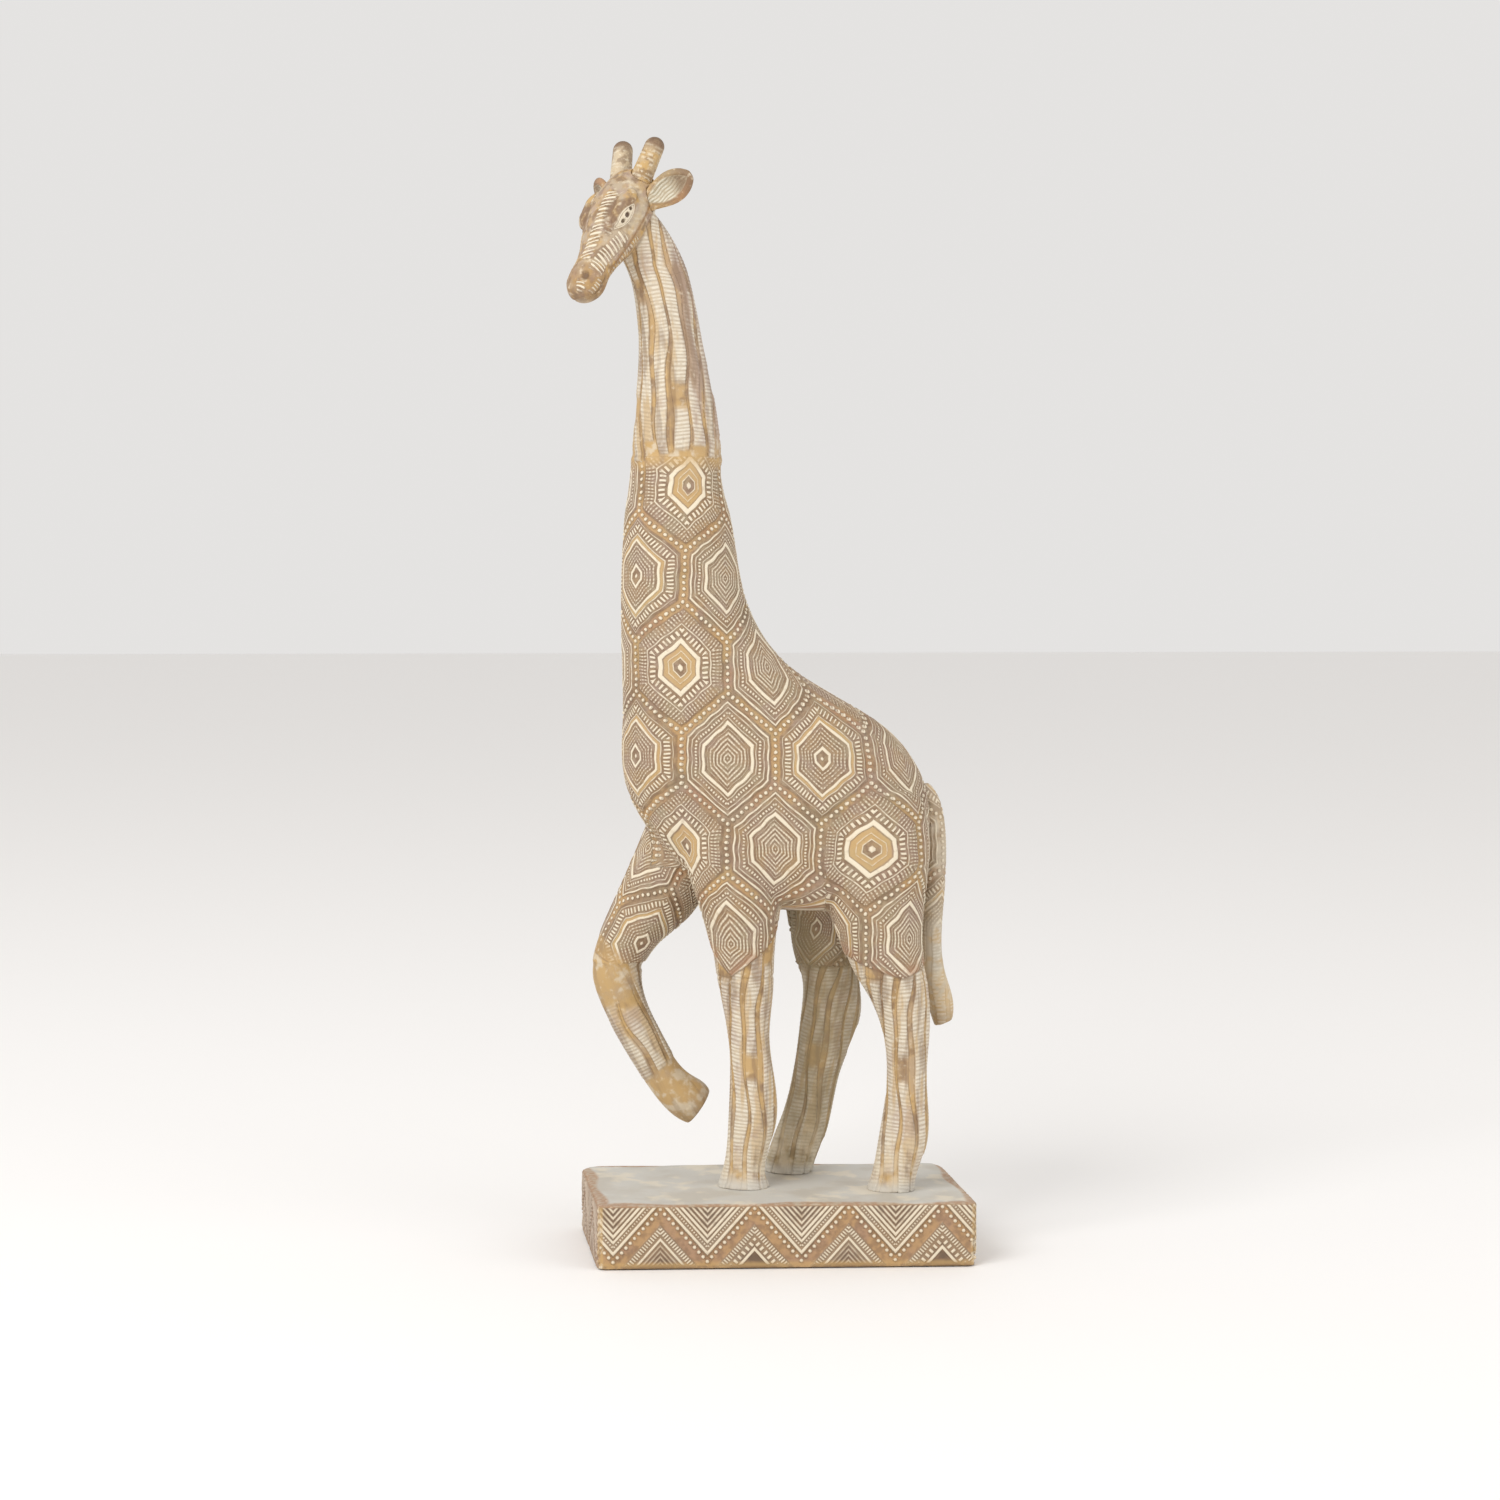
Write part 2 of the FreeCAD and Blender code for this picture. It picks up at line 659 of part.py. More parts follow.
def write_parts():
    """Stop on any failed object or bad solid, then write one file per sub-part."""
    for item in doc.Objects:
        if "Invalid" in item.State or "Error" in item.State:
            raise SystemExit(f"{item.Label} failed: {item.State}")
    for item in parts:
        shape = item.Shape
        if shape.isNull() or not shape.isValid() or not shape.Solids:
            raise SystemExit(f"{item.Label} has no valid solid")
    os.makedirs("parts", exist_ok=True)
    for item in parts:
        print(f"{item.Label}: {len(item.Shape.Solids)} solid, {item.Shape.Volume:.0f} mm3")
        item.Shape.exportStep(f"parts/{item.Label}.step")


fill_sheet()
plinth()
felt_sheet()
for rod_node in RODS:
    steel_rod(rod_node)
body_casting()
leg_castings()
upper_neck()
tail()
head()
for ear_side, side_word in ((1, "left"), (-1, "right")):
    ossicone(ear_side, f"ossicone_{side_word}")
    ear(ear_side, f"ear_{side_word}")
    head_pins(ear_side, side_word)
doc.recompute()
write_parts()
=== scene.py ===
import functools
import json
import math

import bmesh
import bpy
import numpy as np
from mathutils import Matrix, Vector


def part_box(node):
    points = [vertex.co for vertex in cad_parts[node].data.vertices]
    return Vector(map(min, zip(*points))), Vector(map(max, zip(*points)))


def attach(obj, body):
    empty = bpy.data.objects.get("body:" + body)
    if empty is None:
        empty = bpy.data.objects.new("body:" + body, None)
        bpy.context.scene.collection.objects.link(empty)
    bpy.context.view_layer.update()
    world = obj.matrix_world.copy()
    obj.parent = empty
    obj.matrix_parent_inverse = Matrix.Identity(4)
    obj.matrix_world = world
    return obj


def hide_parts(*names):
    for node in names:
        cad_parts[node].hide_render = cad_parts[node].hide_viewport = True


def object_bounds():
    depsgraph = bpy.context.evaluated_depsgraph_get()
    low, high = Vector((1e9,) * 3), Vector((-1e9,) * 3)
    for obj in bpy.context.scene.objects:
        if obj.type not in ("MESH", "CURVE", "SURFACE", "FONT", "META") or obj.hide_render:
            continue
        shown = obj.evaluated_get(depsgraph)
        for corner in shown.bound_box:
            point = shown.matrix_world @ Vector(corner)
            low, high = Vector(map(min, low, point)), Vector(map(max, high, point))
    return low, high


# Looks for a cast resin giraffe figurine: hexagon cells on the body and the tail's root, bark lanes
# on the neck, the lower legs and the rest of the tail, a carved face, and chevrons round the plinth.
# Objects are in metres; patterns are laid out in millimetres, so point arrays are in millimetres.
# The giraffe looks towards -X and its left side, towards -Y, faces the camera.

MM = 0.001

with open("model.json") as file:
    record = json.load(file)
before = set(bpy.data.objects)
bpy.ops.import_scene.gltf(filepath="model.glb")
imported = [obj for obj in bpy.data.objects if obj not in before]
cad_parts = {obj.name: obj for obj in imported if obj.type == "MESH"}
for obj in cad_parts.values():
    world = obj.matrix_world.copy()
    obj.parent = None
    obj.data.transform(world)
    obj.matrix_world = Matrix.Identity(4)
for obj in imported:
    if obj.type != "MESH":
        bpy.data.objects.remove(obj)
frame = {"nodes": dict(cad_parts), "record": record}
cad_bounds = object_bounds()
nodes = frame["nodes"]


# ---------------------------------------------------------------- formulas for relief and colour

class Signal:
    """A shader socket that takes part in arithmetic, so one formula gives relief and colour."""

    def __init__(self, socket):
        self.socket = socket

    def __add__(self, other):
        return math_node("ADD", self, other)

    def __sub__(self, other):
        return math_node("SUBTRACT", self, other)

    def __mul__(self, other):
        return math_node("MULTIPLY", self, other)

    def __truediv__(self, other):
        return math_node("DIVIDE", self, other)

    def __rsub__(self, other):
        return math_node("SUBTRACT", other, self)

    __radd__ = __add__
    __rmul__ = __mul__


def feed(tree, value, socket):
    """Link a Signal to a socket, or set a plain number on it."""
    if isinstance(value, Signal):
        tree.links.new(value.socket, socket)
    else:
        socket.default_value = value


def math_node(operation, *values):
    """A Math node in the tree that its first Signal belongs to."""
    tree = next(value for value in values if isinstance(value, Signal)).socket.id_data
    node = tree.nodes.new("ShaderNodeMath")
    node.operation = operation
    for number, value in enumerate(values):
        feed(tree, value, node.inputs[number])
    return Signal(node.outputs[0])


def both_ways(operation, array_function):
    """A function of arrays that becomes a Math node when it is given a Signal."""

    def apply(*values):
        if any(isinstance(value, Signal) for value in values):
            return math_node(operation, *values)
        return array_function(*values)

    return apply


absolute = both_ways("ABSOLUTE", np.abs)
lesser = both_ways("MINIMUM", np.minimum)
greater = both_ways("MAXIMUM", np.maximum)
whole = both_ways("FLOOR", np.floor)
root = both_ways("SQRT", np.sqrt)
sine = both_ways("SINE", np.sin)
cosine = both_ways("COSINE", np.cos)
under = both_ways("LESS_THAN", np.less)


def highest(*values):
    """The greatest of several values."""
    return functools.reduce(greater, values)


def ease(value, start, end):
    """0 before start, 1 after end and a smooth rise between; end may be the smaller one."""
    if isinstance(value, Signal):
        tree = value.socket.id_data
        node = tree.nodes.new("ShaderNodeMapRange")
        node.interpolation_type = "SMOOTHSTEP"
        feed(tree, value, node.inputs["Value"])
        node.inputs["From Min"].default_value = start
        node.inputs["From Max"].default_value = end
        return Signal(node.outputs["Result"])
    share = np.clip((value - start) / (end - start), 0, 1)
    return share * share * (3 - 2 * share)


def band(value, centre, half_width, soft):
    """1 in a band about the centre, falling to 0 over the soft edge outside it."""
    return ease(absolute(value - centre), half_width + soft, half_width - soft)


def wave(value, pitch):
    """0 to 1 and back over each pitch, highest at whole pitches."""
    return cosine(value * (2 * math.pi / pitch)) * 0.5 + 0.5


def between(low, high, share):
    """The value at a share of the way from low to high."""
    return low + (high - low) * share


def scatter(seed):
    """A number from 0 to 1 that looks random from one whole seed to the next."""
    value = sine(seed * 12.99) * 43.76
    return value - whole(value)


# ---------------------------------------------------------------- hexagon cells

CELL_HALF_WIDTH = 13
CELL_HALF_SIDE = 7
CELL_APEX = 18
CELL_SLOPE = (CELL_APEX - CELL_HALF_SIDE) / CELL_HALF_WIDTH
CELL_SLANT = math.hypot(CELL_HALF_WIDTH, CELL_APEX - CELL_HALF_SIDE)
CELL_ROW = 25.05
FIRST_CELL = (-42, 89.8)
CARVING_WOBBLE = 0.11
BORDER_WIDTH = 1.3
DOT_RADIUS = 0.68
DOT_TOP_RADIUS = 0.33
DOTS_ON_SIDE = 8
DOTS_ON_SLANT = 10
RUNG_PITCH = 1.3
DASH_PITCH = 1.05
STIPPLE_PITCH = 0.95
# Towards its heart a cell is narrower, and its ends are steeper, than a smaller hexagon would be.
HEART_NARROWS = 0.17
HEART_STEEPENS = 0.25
SEED_BY_COLUMN = 3.7
SEED_BY_ROW = 1.3


def lattice(across, up, shift):
    """The nearest cell of every second column: offsets from its centre, reach and number."""
    columns = (across - FIRST_CELL[0]) / CELL_HALF_WIDTH - shift
    column = whole(columns / 2 + 0.5) * 2
    rows = (up - FIRST_CELL[1]) / CELL_ROW - shift
    row = whole(rows / 2 + 0.5) * 2
    side = absolute(columns - column) * CELL_HALF_WIDTH
    rise = absolute(rows - row) * CELL_ROW
    reach = greater(side / CELL_HALF_WIDTH, (rise + side * CELL_SLOPE) / CELL_APEX)
    return side, rise, reach, column + shift, row + shift


# A cell's reach is 0 at its heart and 1 at its rim. Each ring of a cell is a band of reach, given
# by its middle, half width and soft edge, times its height in shares of the highest ridge.


def ladder_cell(reach, ticks):
    """Ridges of a cell with a seed in an ochre heart, one broad ring and a ring of ladder rungs."""
    rows = wave(reach, 0.074) * 0.5 + 0.5
    return highest(
        band(reach, 0, 0.06, 0.02),
        band(reach, 0.16, 0.014, 0.014) * 0.75,
        band(reach, 0.255, 0.012, 0.014) * 0.65,
        band(reach, 0.410, 0.045, 0.014) * 0.95,
        band(reach, 0.565, 0.062, 0.014) * ticks["rungs"] * 0.85,
        band(reach, 0.675, 0.014, 0.012) * 0.75,
        band(reach, 0.79, 0.10, 0.015) * ticks["stipple"] * rows * 0.68,
    )


def eye_cell(reach, ticks):
    """Ridges of a cell with a small ring at its heart, thin rings, a broad ring and dashes."""
    rows = wave(reach - 0.255, 0.072) * band(reach, 0.38, 0.14, 0.01)
    return highest(
        band(reach, 0, 0.035, 0.02),
        band(reach, 0.165, 0.030, 0.014),
        rows * (ticks["stipple"] * 0.30 + 0.40),
        band(reach, 0.565, 0.026, 0.014) * 0.95,
        band(reach, 0.655, 0.014, 0.012) * 0.65,
        band(reach, 0.765, 0.060, 0.015) * ticks["dashes"] * 0.85,
        band(reach, 0.865, 0.010, 0.012) * 0.6,
    )


def dense_cell(reach, ticks):
    """Ridges of a cell filled with rings from its heart to its rim, one of them broad."""
    return highest(
        wave(reach, 0.080) * ease(reach, 0.49, 0.46) * (ticks["stipple"] * 0.15 + 0.60),
        band(reach, 0.555, 0.034, 0.014) * 0.95,
        band(reach, 0.635, 0.014, 0.012) * 0.6,
        band(reach, 0.710, 0.024, 0.014) * (ticks["stipple"] * 0.65 + 0.2),
        band(reach, 0.790, 0.014, 0.012) * 0.6,
        band(reach, 0.870, 0.018, 0.012) * 0.8,
    )


def hexagon_skin(across, up):
    """The cells: height of the ridges, border grooves, ochre hearts and a seed for each cell."""
    wobble = sine(up * 1.1 + across * 0.4) * CARVING_WOBBLE
    up = up + sine(across * 1.3 + up * 0.5) * CARVING_WOBBLE
    across = across + wobble
    first = lattice(across, up, 0)
    second = lattice(across, up, 1)
    nearer = under(first[2], second[2])
    side, rise, outer, column, row = [
        between(other, one, nearer) for one, other in zip(first, second)
    ]
    inward = 1 - outer
    narrow = side * (inward * HEART_NARROWS + 1) / CELL_HALF_WIDTH
    steep = (rise + side * (inward * HEART_STEEPENS + CELL_SLOPE)) / CELL_APEX
    reach = greater(narrow, steep)

    on_side = under(steep, narrow)
    along_slant = side * CELL_HALF_WIDTH + (CELL_APEX - rise) * (CELL_APEX - CELL_HALF_SIDE)
    along_slant = along_slant / CELL_SLANT
    along = between(along_slant, rise, on_side)
    ticks = {
        "rungs": ease(wave(along, RUNG_PITCH), 0.3, 0.7),
        "dashes": ease(wave(along, DASH_PITCH), 0.25, 0.75),
        "stipple": ease(wave(along, STIPPLE_PITCH), 0.1, 0.85),
    }
    style = column - whole(column / 4) * 4
    is_ladder = band(style, 1, 0.5, 0.01)
    is_eye = greater(band(style, 0, 0.5, 0.01), band(style, 4, 0.5, 0.01))
    ridges = between(dense_cell(reach, ticks), ladder_cell(reach, ticks), is_ladder)
    ridges = between(ridges, eye_cell(reach, ticks), is_eye)
    ochre = is_ladder * band(reach, 0.25, 0.10, 0.02) + is_eye * band(reach, 0.615, 0.03, 0.02)

    to_side = CELL_HALF_WIDTH - side
    to_slant = (CELL_APEX - rise - side * CELL_SLOPE) / math.hypot(1, CELL_SLOPE)
    edge = lesser(to_side, to_slant)
    groove = ease(edge, BORDER_WIDTH + 0.2, BORDER_WIDTH - 0.3)
    side_pitch = 2 * CELL_HALF_SIDE / DOTS_ON_SIDE
    slant_pitch = CELL_SLANT / DOTS_ON_SLANT
    side_beads = beads((CELL_HALF_SIDE - rise) / side_pitch, to_side, side_pitch)
    slant_beads = beads(along_slant / slant_pitch, to_slant, slant_pitch)
    dots = greater(side_beads, slant_beads)
    ridges = greater(ridges * (1 - groove), dots)
    return ridges, groove * (1 - dots), ochre, column * SEED_BY_COLUMN + row * SEED_BY_ROW


def beads(number, distance, pitch):
    """A row of round beads, one at every whole number along a line at distance 0."""
    offset = absolute(number - whole(number + 0.5)) * pitch
    return ease(root(offset * offset + distance * distance), DOT_RADIUS, DOT_TOP_RADIUS)


# ---------------------------------------------------------------- bark lanes

LANE_PITCH = 4.7
FIRST_LANE = 0.28
LANE_SHARE = 0.77
LANE_SHARE_SWING = 0.12
HATCH_PITCH = 1.08
HATCH_SLANT = 0.8


def lane_place(across, along):
    """How many lane widths a point is from the first lane; the lanes wander a little."""
    drift = sine(along * 0.11 + 0.7) * 0.8 + sine(along * 0.29 + across * 0.33) * 0.4
    return (across + drift) / LANE_PITCH + FIRST_LANE


def bark(across, along):
    """Long wavy lanes: the raised lanes, the strokes across them and the creases between them."""
    lanes = lane_place(across, along)
    number = whole(lanes)
    part = lanes - number
    share = sine(along * 0.085 + number * 2.4) * LANE_SHARE_SWING + LANE_SHARE
    ending = sine(along * 0.067 + number * 4.1 + 1.2)
    lane = ease(part, 0.02, 0.10) * ease(part - share, 0.035, -0.045)
    lane = lane * ease(ending, -0.99, -0.95)
    slant = sine(along * 0.05 + number * 1.7) * HATCH_SLANT
    uneven = sine(along * 0.9 + number) * 0.2
    strokes = ease(wave(along + part * slant + number * 0.4 + uneven, HATCH_PITCH), 0.1, 0.8)
    creases = greater(band(part, 0, 0.02, 0.03), band(part - share, 0.02, 0.01, 0.03))
    return lane, strokes * lane, creases


# ---------------------------------------------------------------- meshes

WELD_DISTANCE = 1e-6
RELAX_LEVELS = 10


def link(item):
    """Put an object in the scene."""
    bpy.context.scene.collection.objects.link(item)
    return item


def built(name, builder):
    """An object in the scene from a bmesh, which is freed."""
    mesh = bpy.data.meshes.new(name)
    builder.to_mesh(mesh)
    builder.free()
    return link(bpy.data.objects.new(name, mesh))


def welded_copy(node):
    """A loose copy of a CAD node with its doubled corners welded."""
    builder = bmesh.new()
    builder.from_mesh(nodes[node].data)
    bmesh.ops.remove_doubles(builder, verts=builder.verts, dist=WELD_DISTANCE)
    return built(f"{node}_copy", builder)


def joined(name, items):
    """One object made of several, which are removed."""
    builder = bmesh.new()
    for item in items:
        builder.from_mesh(item.data)
        bpy.data.objects.remove(item)
    return built(name, builder)


def applied(item):
    """Make an object's modifiers real."""
    depsgraph = bpy.context.evaluated_depsgraph_get()
    mesh = bpy.data.meshes.new_from_object(item.evaluated_get(depsgraph))
    item.modifiers.clear()
    item.data = mesh
    return item


def remeshed(item, voxel):
    """Rebuild an object's surface from voxels, in millimetres."""
    modifier = item.modifiers.new("voxels", "REMESH")
    modifier.mode = "VOXEL"
    modifier.voxel_size = voxel * MM
    return applied(item)


def per_point(item, values):
    """One value for each point of an object, from as many or from a single number."""
    return np.zeros(len(item.data.vertices)) + values


def smoothed(item, weights, rounds):
    """Relax an object's surface, by one weight from 0 to 1 or by a weight for each point."""
    group = item.vertex_groups.new(name="relax")
    levels = np.round(per_point(item, weights) * RELAX_LEVELS).astype(int)
    for level in range(1, RELAX_LEVELS + 1):
        members = np.nonzero(levels == level)[0].tolist()
        group.add(members, level / RELAX_LEVELS, "REPLACE")
    modifier = item.modifiers.new("relax", "SMOOTH")
    modifier.factor = 0.5
    modifier.iterations = rounds
    modifier.vertex_group = group.name
    applied(item)
    item.vertex_groups.clear()
    return item


def vectors_of(item, name):
    """A vector of every point of an object, such as its place or its normal."""
    values = np.empty(len(item.data.vertices) * 3, np.float32)
    item.data.vertices.foreach_get(name, values)
    return values.reshape(-1, 3).astype(float)


def points_of(item):
    """An object's points in millimetres."""
    return vectors_of(item, "co") / MM


def normals_of(item):
    """An object's smooth point normals."""
    return vectors_of(item, "normal")


def raised(item, heights):
    """Push an object's points out along their normals by heights in millimetres."""
    points = points_of(item) + normals_of(item) * per_point(item, heights)[:, None]
    item.data.vertices.foreach_set("co", (points * MM).astype(np.float32).ravel())
    item.data.update()
    return item


def store(item, **fields):
    """Keep a number for every point of an object, for its material."""
    for name, values in fields.items():
        attribute = item.data.attributes.new(name, "FLOAT", "POINT")
        attribute.data.foreach_set("value", per_point(item, values).astype(np.float32))
    return item


def block(low, high):
    """A box between two corners in millimetres, used only to cut with."""
    builder = bmesh.new()
    bmesh.ops.create_cube(builder, size=1)
    centre = (np.array(low) + np.array(high)) / 2
    spread = np.array(high) - np.array(low)
    for vertex in builder.verts:
        vertex.co = Vector((np.array(vertex.co) * spread + centre) * MM)
    return built("block", builder)


def cut_with(name, item, cutter, operation):
    """A new object: what is left of an object after a boolean with a cutter."""
    result = link(bpy.data.objects.new(name, item.data))
    modifier = result.modifiers.new("cut", "BOOLEAN")
    modifier.operation = operation
    modifier.solver = "MANIFOLD"
    modifier.object = cutter
    return applied(result)


def node_box(node):
    """A node's lowest and highest corners in millimetres."""
    return [np.array(corner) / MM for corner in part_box(node)]


def top_of(node):
    """The height of a node's highest point in millimetres."""
    return node_box(node)[1][2]


def bottom_of(node):
    """The height of a node's lowest point in millimetres."""
    return node_box(node)[0][2]


# ---------------------------------------------------------------- coordinates over the casting

PLINTH_TOP = top_of("plinth")
KNEE_TOP = top_of("foreleg_left_lower")
SKIN_TOP = bottom_of("upper_neck")
TORSO_MIDDLE = 3
TORSO_FROM = KNEE_TOP + 60
LEG_BLEND = (98, 112)
BELT_STEP = 2
BELT_SOFTENINGS = 4
# The columns and rows of cells drift over the body. A drift is in millimetres; a pair says where
# it begins and where it is whole, in height for the names in HEIGHTS and along the body for PLACE.
NECK_LEAN = 0.06
NECK_LEAN_START = 168
LEG_CELLS_BACK = (1.6, 0.6, 0.6)
LEG_CELLS_HEIGHTS = (108, 90)
LEG_ROWS_LOWER = (2.0, 0.4, 0)
LEG_ROWS_HEIGHTS = (100, 88)
NAPE_ROWS_LOWER = 1.2
NAPE_HEIGHTS = (178, 197)
NAPE_PLACE = (-24, -16)
BREAST_CELLS_FORWARD = 1.7
BREAST_PLACE = (-28, -40)
HAUNCH_CELLS_FORWARD = 1.1
RUMP_CELLS_BACK = 1.8
RUMP_HEIGHTS = (118, 132)
RUMP_PLACE = (8, 22)


class Belts:
    """A limb's girth at every height, measured on its near side."""

    def __init__(self, points, middle, low, high):
        self.middle = middle
        self.heights = np.arange(low, high + BELT_STEP, BELT_STEP)
        slot = np.round((points[:, 2] - low) / BELT_STEP).astype(int)
        spans = np.full((3, len(self.heights)), np.nan)
        for number in range(len(self.heights)):
            belt = points[slot == number]
            if len(belt):
                spans[:, number] = belt[:, 0].min(), belt[:, 0].max(), belt[:, 1].min()
        self.spans = [self.softened(values) for values in spans]

    @staticmethod
    def softened(values):
        """Fill the gaps between belts and even out their steps."""
        known = np.nonzero(~np.isnan(values))[0]
        values = np.interp(np.arange(len(values)), known, values[known])
        for _ in range(BELT_SOFTENINGS):
            padded = np.concatenate([values[:1], values, values[-1:]])
            values = (padded[:-2] + 2 * padded[1:-1] + padded[2:]) / 4
        return values

    def girth(self, z):
        """The middle in X, half length in X and half width in Y at some heights."""
        front, back, near = [np.interp(z, self.heights, values) for values in self.spans]
        half_wide = np.interp(z, *self.middle) - near
        return (front + back) / 2, (back - front) / 2, np.maximum(half_wide, 1)

    def wrap(self, points):
        """Distance along the skin from the side that faces -Y, mirrored on the other side."""
        x, y, z = points.T
        centre, half_long, half_wide = self.girth(z)
        away = np.abs(y - np.interp(z, *self.middle))
        turn = np.arctan2((x - centre) / half_long, away / half_wide)
        return centre + arc_length(half_long, half_wide, turn)

    def reach(self, points):
        """How far out a point is, in shares of the elliptical girth."""
        x, y, z = points.T
        centre, half_long, half_wide = self.girth(z)
        return np.hypot((x - centre) / half_long, (y - np.interp(z, *self.middle)) / half_wide)


def arc_length(half_long, half_wide, turn):
    """Length along an ellipse from the end of its short axis to an angle parameter."""
    mean = (half_long**2 + half_wide**2) / 2
    swing = (half_long**2 - half_wide**2) / 2
    ratio = swing / mean
    series = turn * (1 - ratio**2 / 16) + ratio / 4 * np.sin(2 * turn)
    return np.sqrt(mean) * (series - ratio**2 / 64 * np.sin(4 * turn))


def rod_line(rod):
    """Heights and the X and Y of a leaning rod's axis at them."""
    low, high = node_box(rod)
    radius = (high[1] - low[1]) / 2
    heights = [low[2], high[2]]
    return heights, [low[0] + radius, high[0] - radius], [low[1] + radius, high[1] - radius]


class Casting:
    """Pattern coordinates over the whole giraffe, apart from its tail and face."""

    PLANTED = ("foreleg_left", "hindleg_left", "hindleg_right")
    # For each planted leg: how far above the knee its skin ends, how steeply that edge rises to
    # both sides, and the place along the body where it is lowest.
    SKIN_EDGES = ((0.5, 0.75, -14), (0.5, 0.3, 33), (0.7, 0, 0))
    SHOULDER = np.array([-20.0, 8.0, 124.0])
    HOOF_INSET = 5
    RAISED_LEG_BEHIND = -12
    THIGH_LENGTH = 50
    THIGH_REACH = 22
    THIGH_TOP = 118
    THIGH_INNER_SIDE = ([-24, -20], [-4, 3.5])
    THIGH_LEAST_RADIUS = 5
    THIGH_SKIN_STEP = 0.3
    THIGH_CELL_ABOVE_KNEE = 9
    THIGH_CELL_AROUND = 1.9
    TORSO_BELLY = 108
    SHIN_RADIUS = 6.2
    SHIN_PHASE = 3
    SHIN_INNER_SIDE = 4.5
    BELOW_SKIN = -5

    def __init__(self, points):
        _, brow, ahead = head_coordinates(points)
        near_half = (points[:, 1] < TORSO_MIDDLE) & (nape(brow, ahead) > 0.5)
        neck_top = top_of("upper_neck")
        flat = ([LEG_BLEND[0], neck_top], [TORSO_MIDDLE, TORSO_MIDDLE])
        self.torso = Belts(points[near_half], flat, LEG_BLEND[0], neck_top)
        self.lines = {leg: rod_line(f"{leg}_rod") for leg in self.PLANTED}
        low, high = node_box("foreleg_right_lower")
        pin_low, pin_high = node_box("foreleg_right_pin")
        self.knee = np.array([(pin_low[0] + pin_high[0]) / 2, (low[1] + high[1]) / 2, high[2]])
        self.hoof = np.array([high[0] - self.HOOF_INSET, self.knee[1], low[2] + self.HOOF_INSET])
        on_legs = points[:, 2] < LEG_BLEND[1]
        owner = self.nearest_leg(points)
        self.legs = []
        for number, leg in enumerate(self.PLANTED):
            heights, _, middles = self.lines[leg]
            near = points[:, 1] < np.interp(points[:, 2], heights, middles)
            members = points[on_legs & (owner == number) & near]
            self.legs.append(Belts(members, (heights, middles), PLINTH_TOP, LEG_BLEND[1]))

    def nearest_leg(self, points):
        """Which planted leg's axis a point is nearest to."""
        distances = []
        for leg in self.PLANTED:
            heights, xs, ys = self.lines[leg]
            axis = [np.interp(points[:, 2], heights, places) for places in (xs, ys)]
            distances.append(np.hypot(points[:, 0] - axis[0], points[:, 1] - axis[1]))
        return np.array(distances).argmin(axis=0)

    def along_limb(self, points, end):
        """Distance from the raised knee towards a limb's end, angle round it and distance off it."""
        axis = (end - self.knee) / np.linalg.norm(end - self.knee)
        offset = points - self.knee
        along = offset @ axis
        off = offset - along[:, None] * axis
        forward = np.array([-abs(axis[2]), 0, axis[0] * np.sign(axis[2])])
        turn = np.arctan2(-(off @ forward) / np.linalg.norm(forward), np.abs(off[:, 1]))
        return along, turn, np.linalg.norm(off, axis=1)

    def on_raised_thigh(self, points, up, radius):
        """Which points belong to the raised foreleg's thigh, by their place along and off it."""
        x, y, z = points.T
        near = (up > -1) & (up < self.THIGH_LENGTH) & (radius < self.THIGH_REACH)
        outside = (z < self.TORSO_BELLY) | (self.torso.reach(points) > 1.0)
        raised_side = (y > np.interp(x, *self.THIGH_INNER_SIDE)) & (x < self.RAISED_LEG_BEHIND)
        return near & outside & raised_side & (z < self.THIGH_TOP)

    def coordinates(self, points):
        """Across and up for the cells, across and along for the bark, and depth into the skin."""
        x, y, z = points.T
        owner = self.nearest_leg(points)
        legs = np.choose(owner, [belts.wrap(points) for belts in self.legs])
        axes = [np.interp(z, self.lines[leg][0], self.lines[leg][1]) for leg in self.PLANTED]
        wrapped = between(legs, self.torso.wrap(points), ease(z, *LEG_BLEND))
        middle = np.where(z > TORSO_FROM, self.torso.girth(z)[0], np.choose(owner, axes))
        bark_across = wrapped - middle
        across, up = cell_drift(points, owner, wrapped)
        edges = [KNEE_TOP + above + rise * np.abs(legs - place)
                 for above, rise, place in self.SKIN_EDGES]
        skin = z - np.choose(owner, edges)

        thigh_up, turn, radius = self.along_limb(points, self.SHOULDER)
        on_thigh = self.on_raised_thigh(points, thigh_up, radius)
        around = turn * np.maximum(radius, self.THIGH_LEAST_RADIUS)
        thigh_across = FIRST_CELL[0] + 4 * CELL_HALF_WIDTH + around - self.THIGH_CELL_AROUND
        across = np.where(on_thigh, thigh_across, across)
        up = np.where(on_thigh, FIRST_CELL[1] + thigh_up - self.THIGH_CELL_ABOVE_KNEE, up)
        skin = np.where(on_thigh, thigh_up + self.THIGH_SKIN_STEP, skin)

        shin = (z < self.knee[2] + 0.5) & (x < self.RAISED_LEG_BEHIND) & (y > self.SHIN_INNER_SIDE)
        down, shin_turn, _ = self.along_limb(points, self.hoof)
        bark_across = np.where(shin, self.SHIN_PHASE - shin_turn * self.SHIN_RADIUS, bark_across)
        along = np.where(shin, -down, z)
        no_skin = shin | (z > lane_ends(bark_across, along))
        return across, up, bark_across, along, np.where(no_skin, self.BELOW_SKIN, skin)


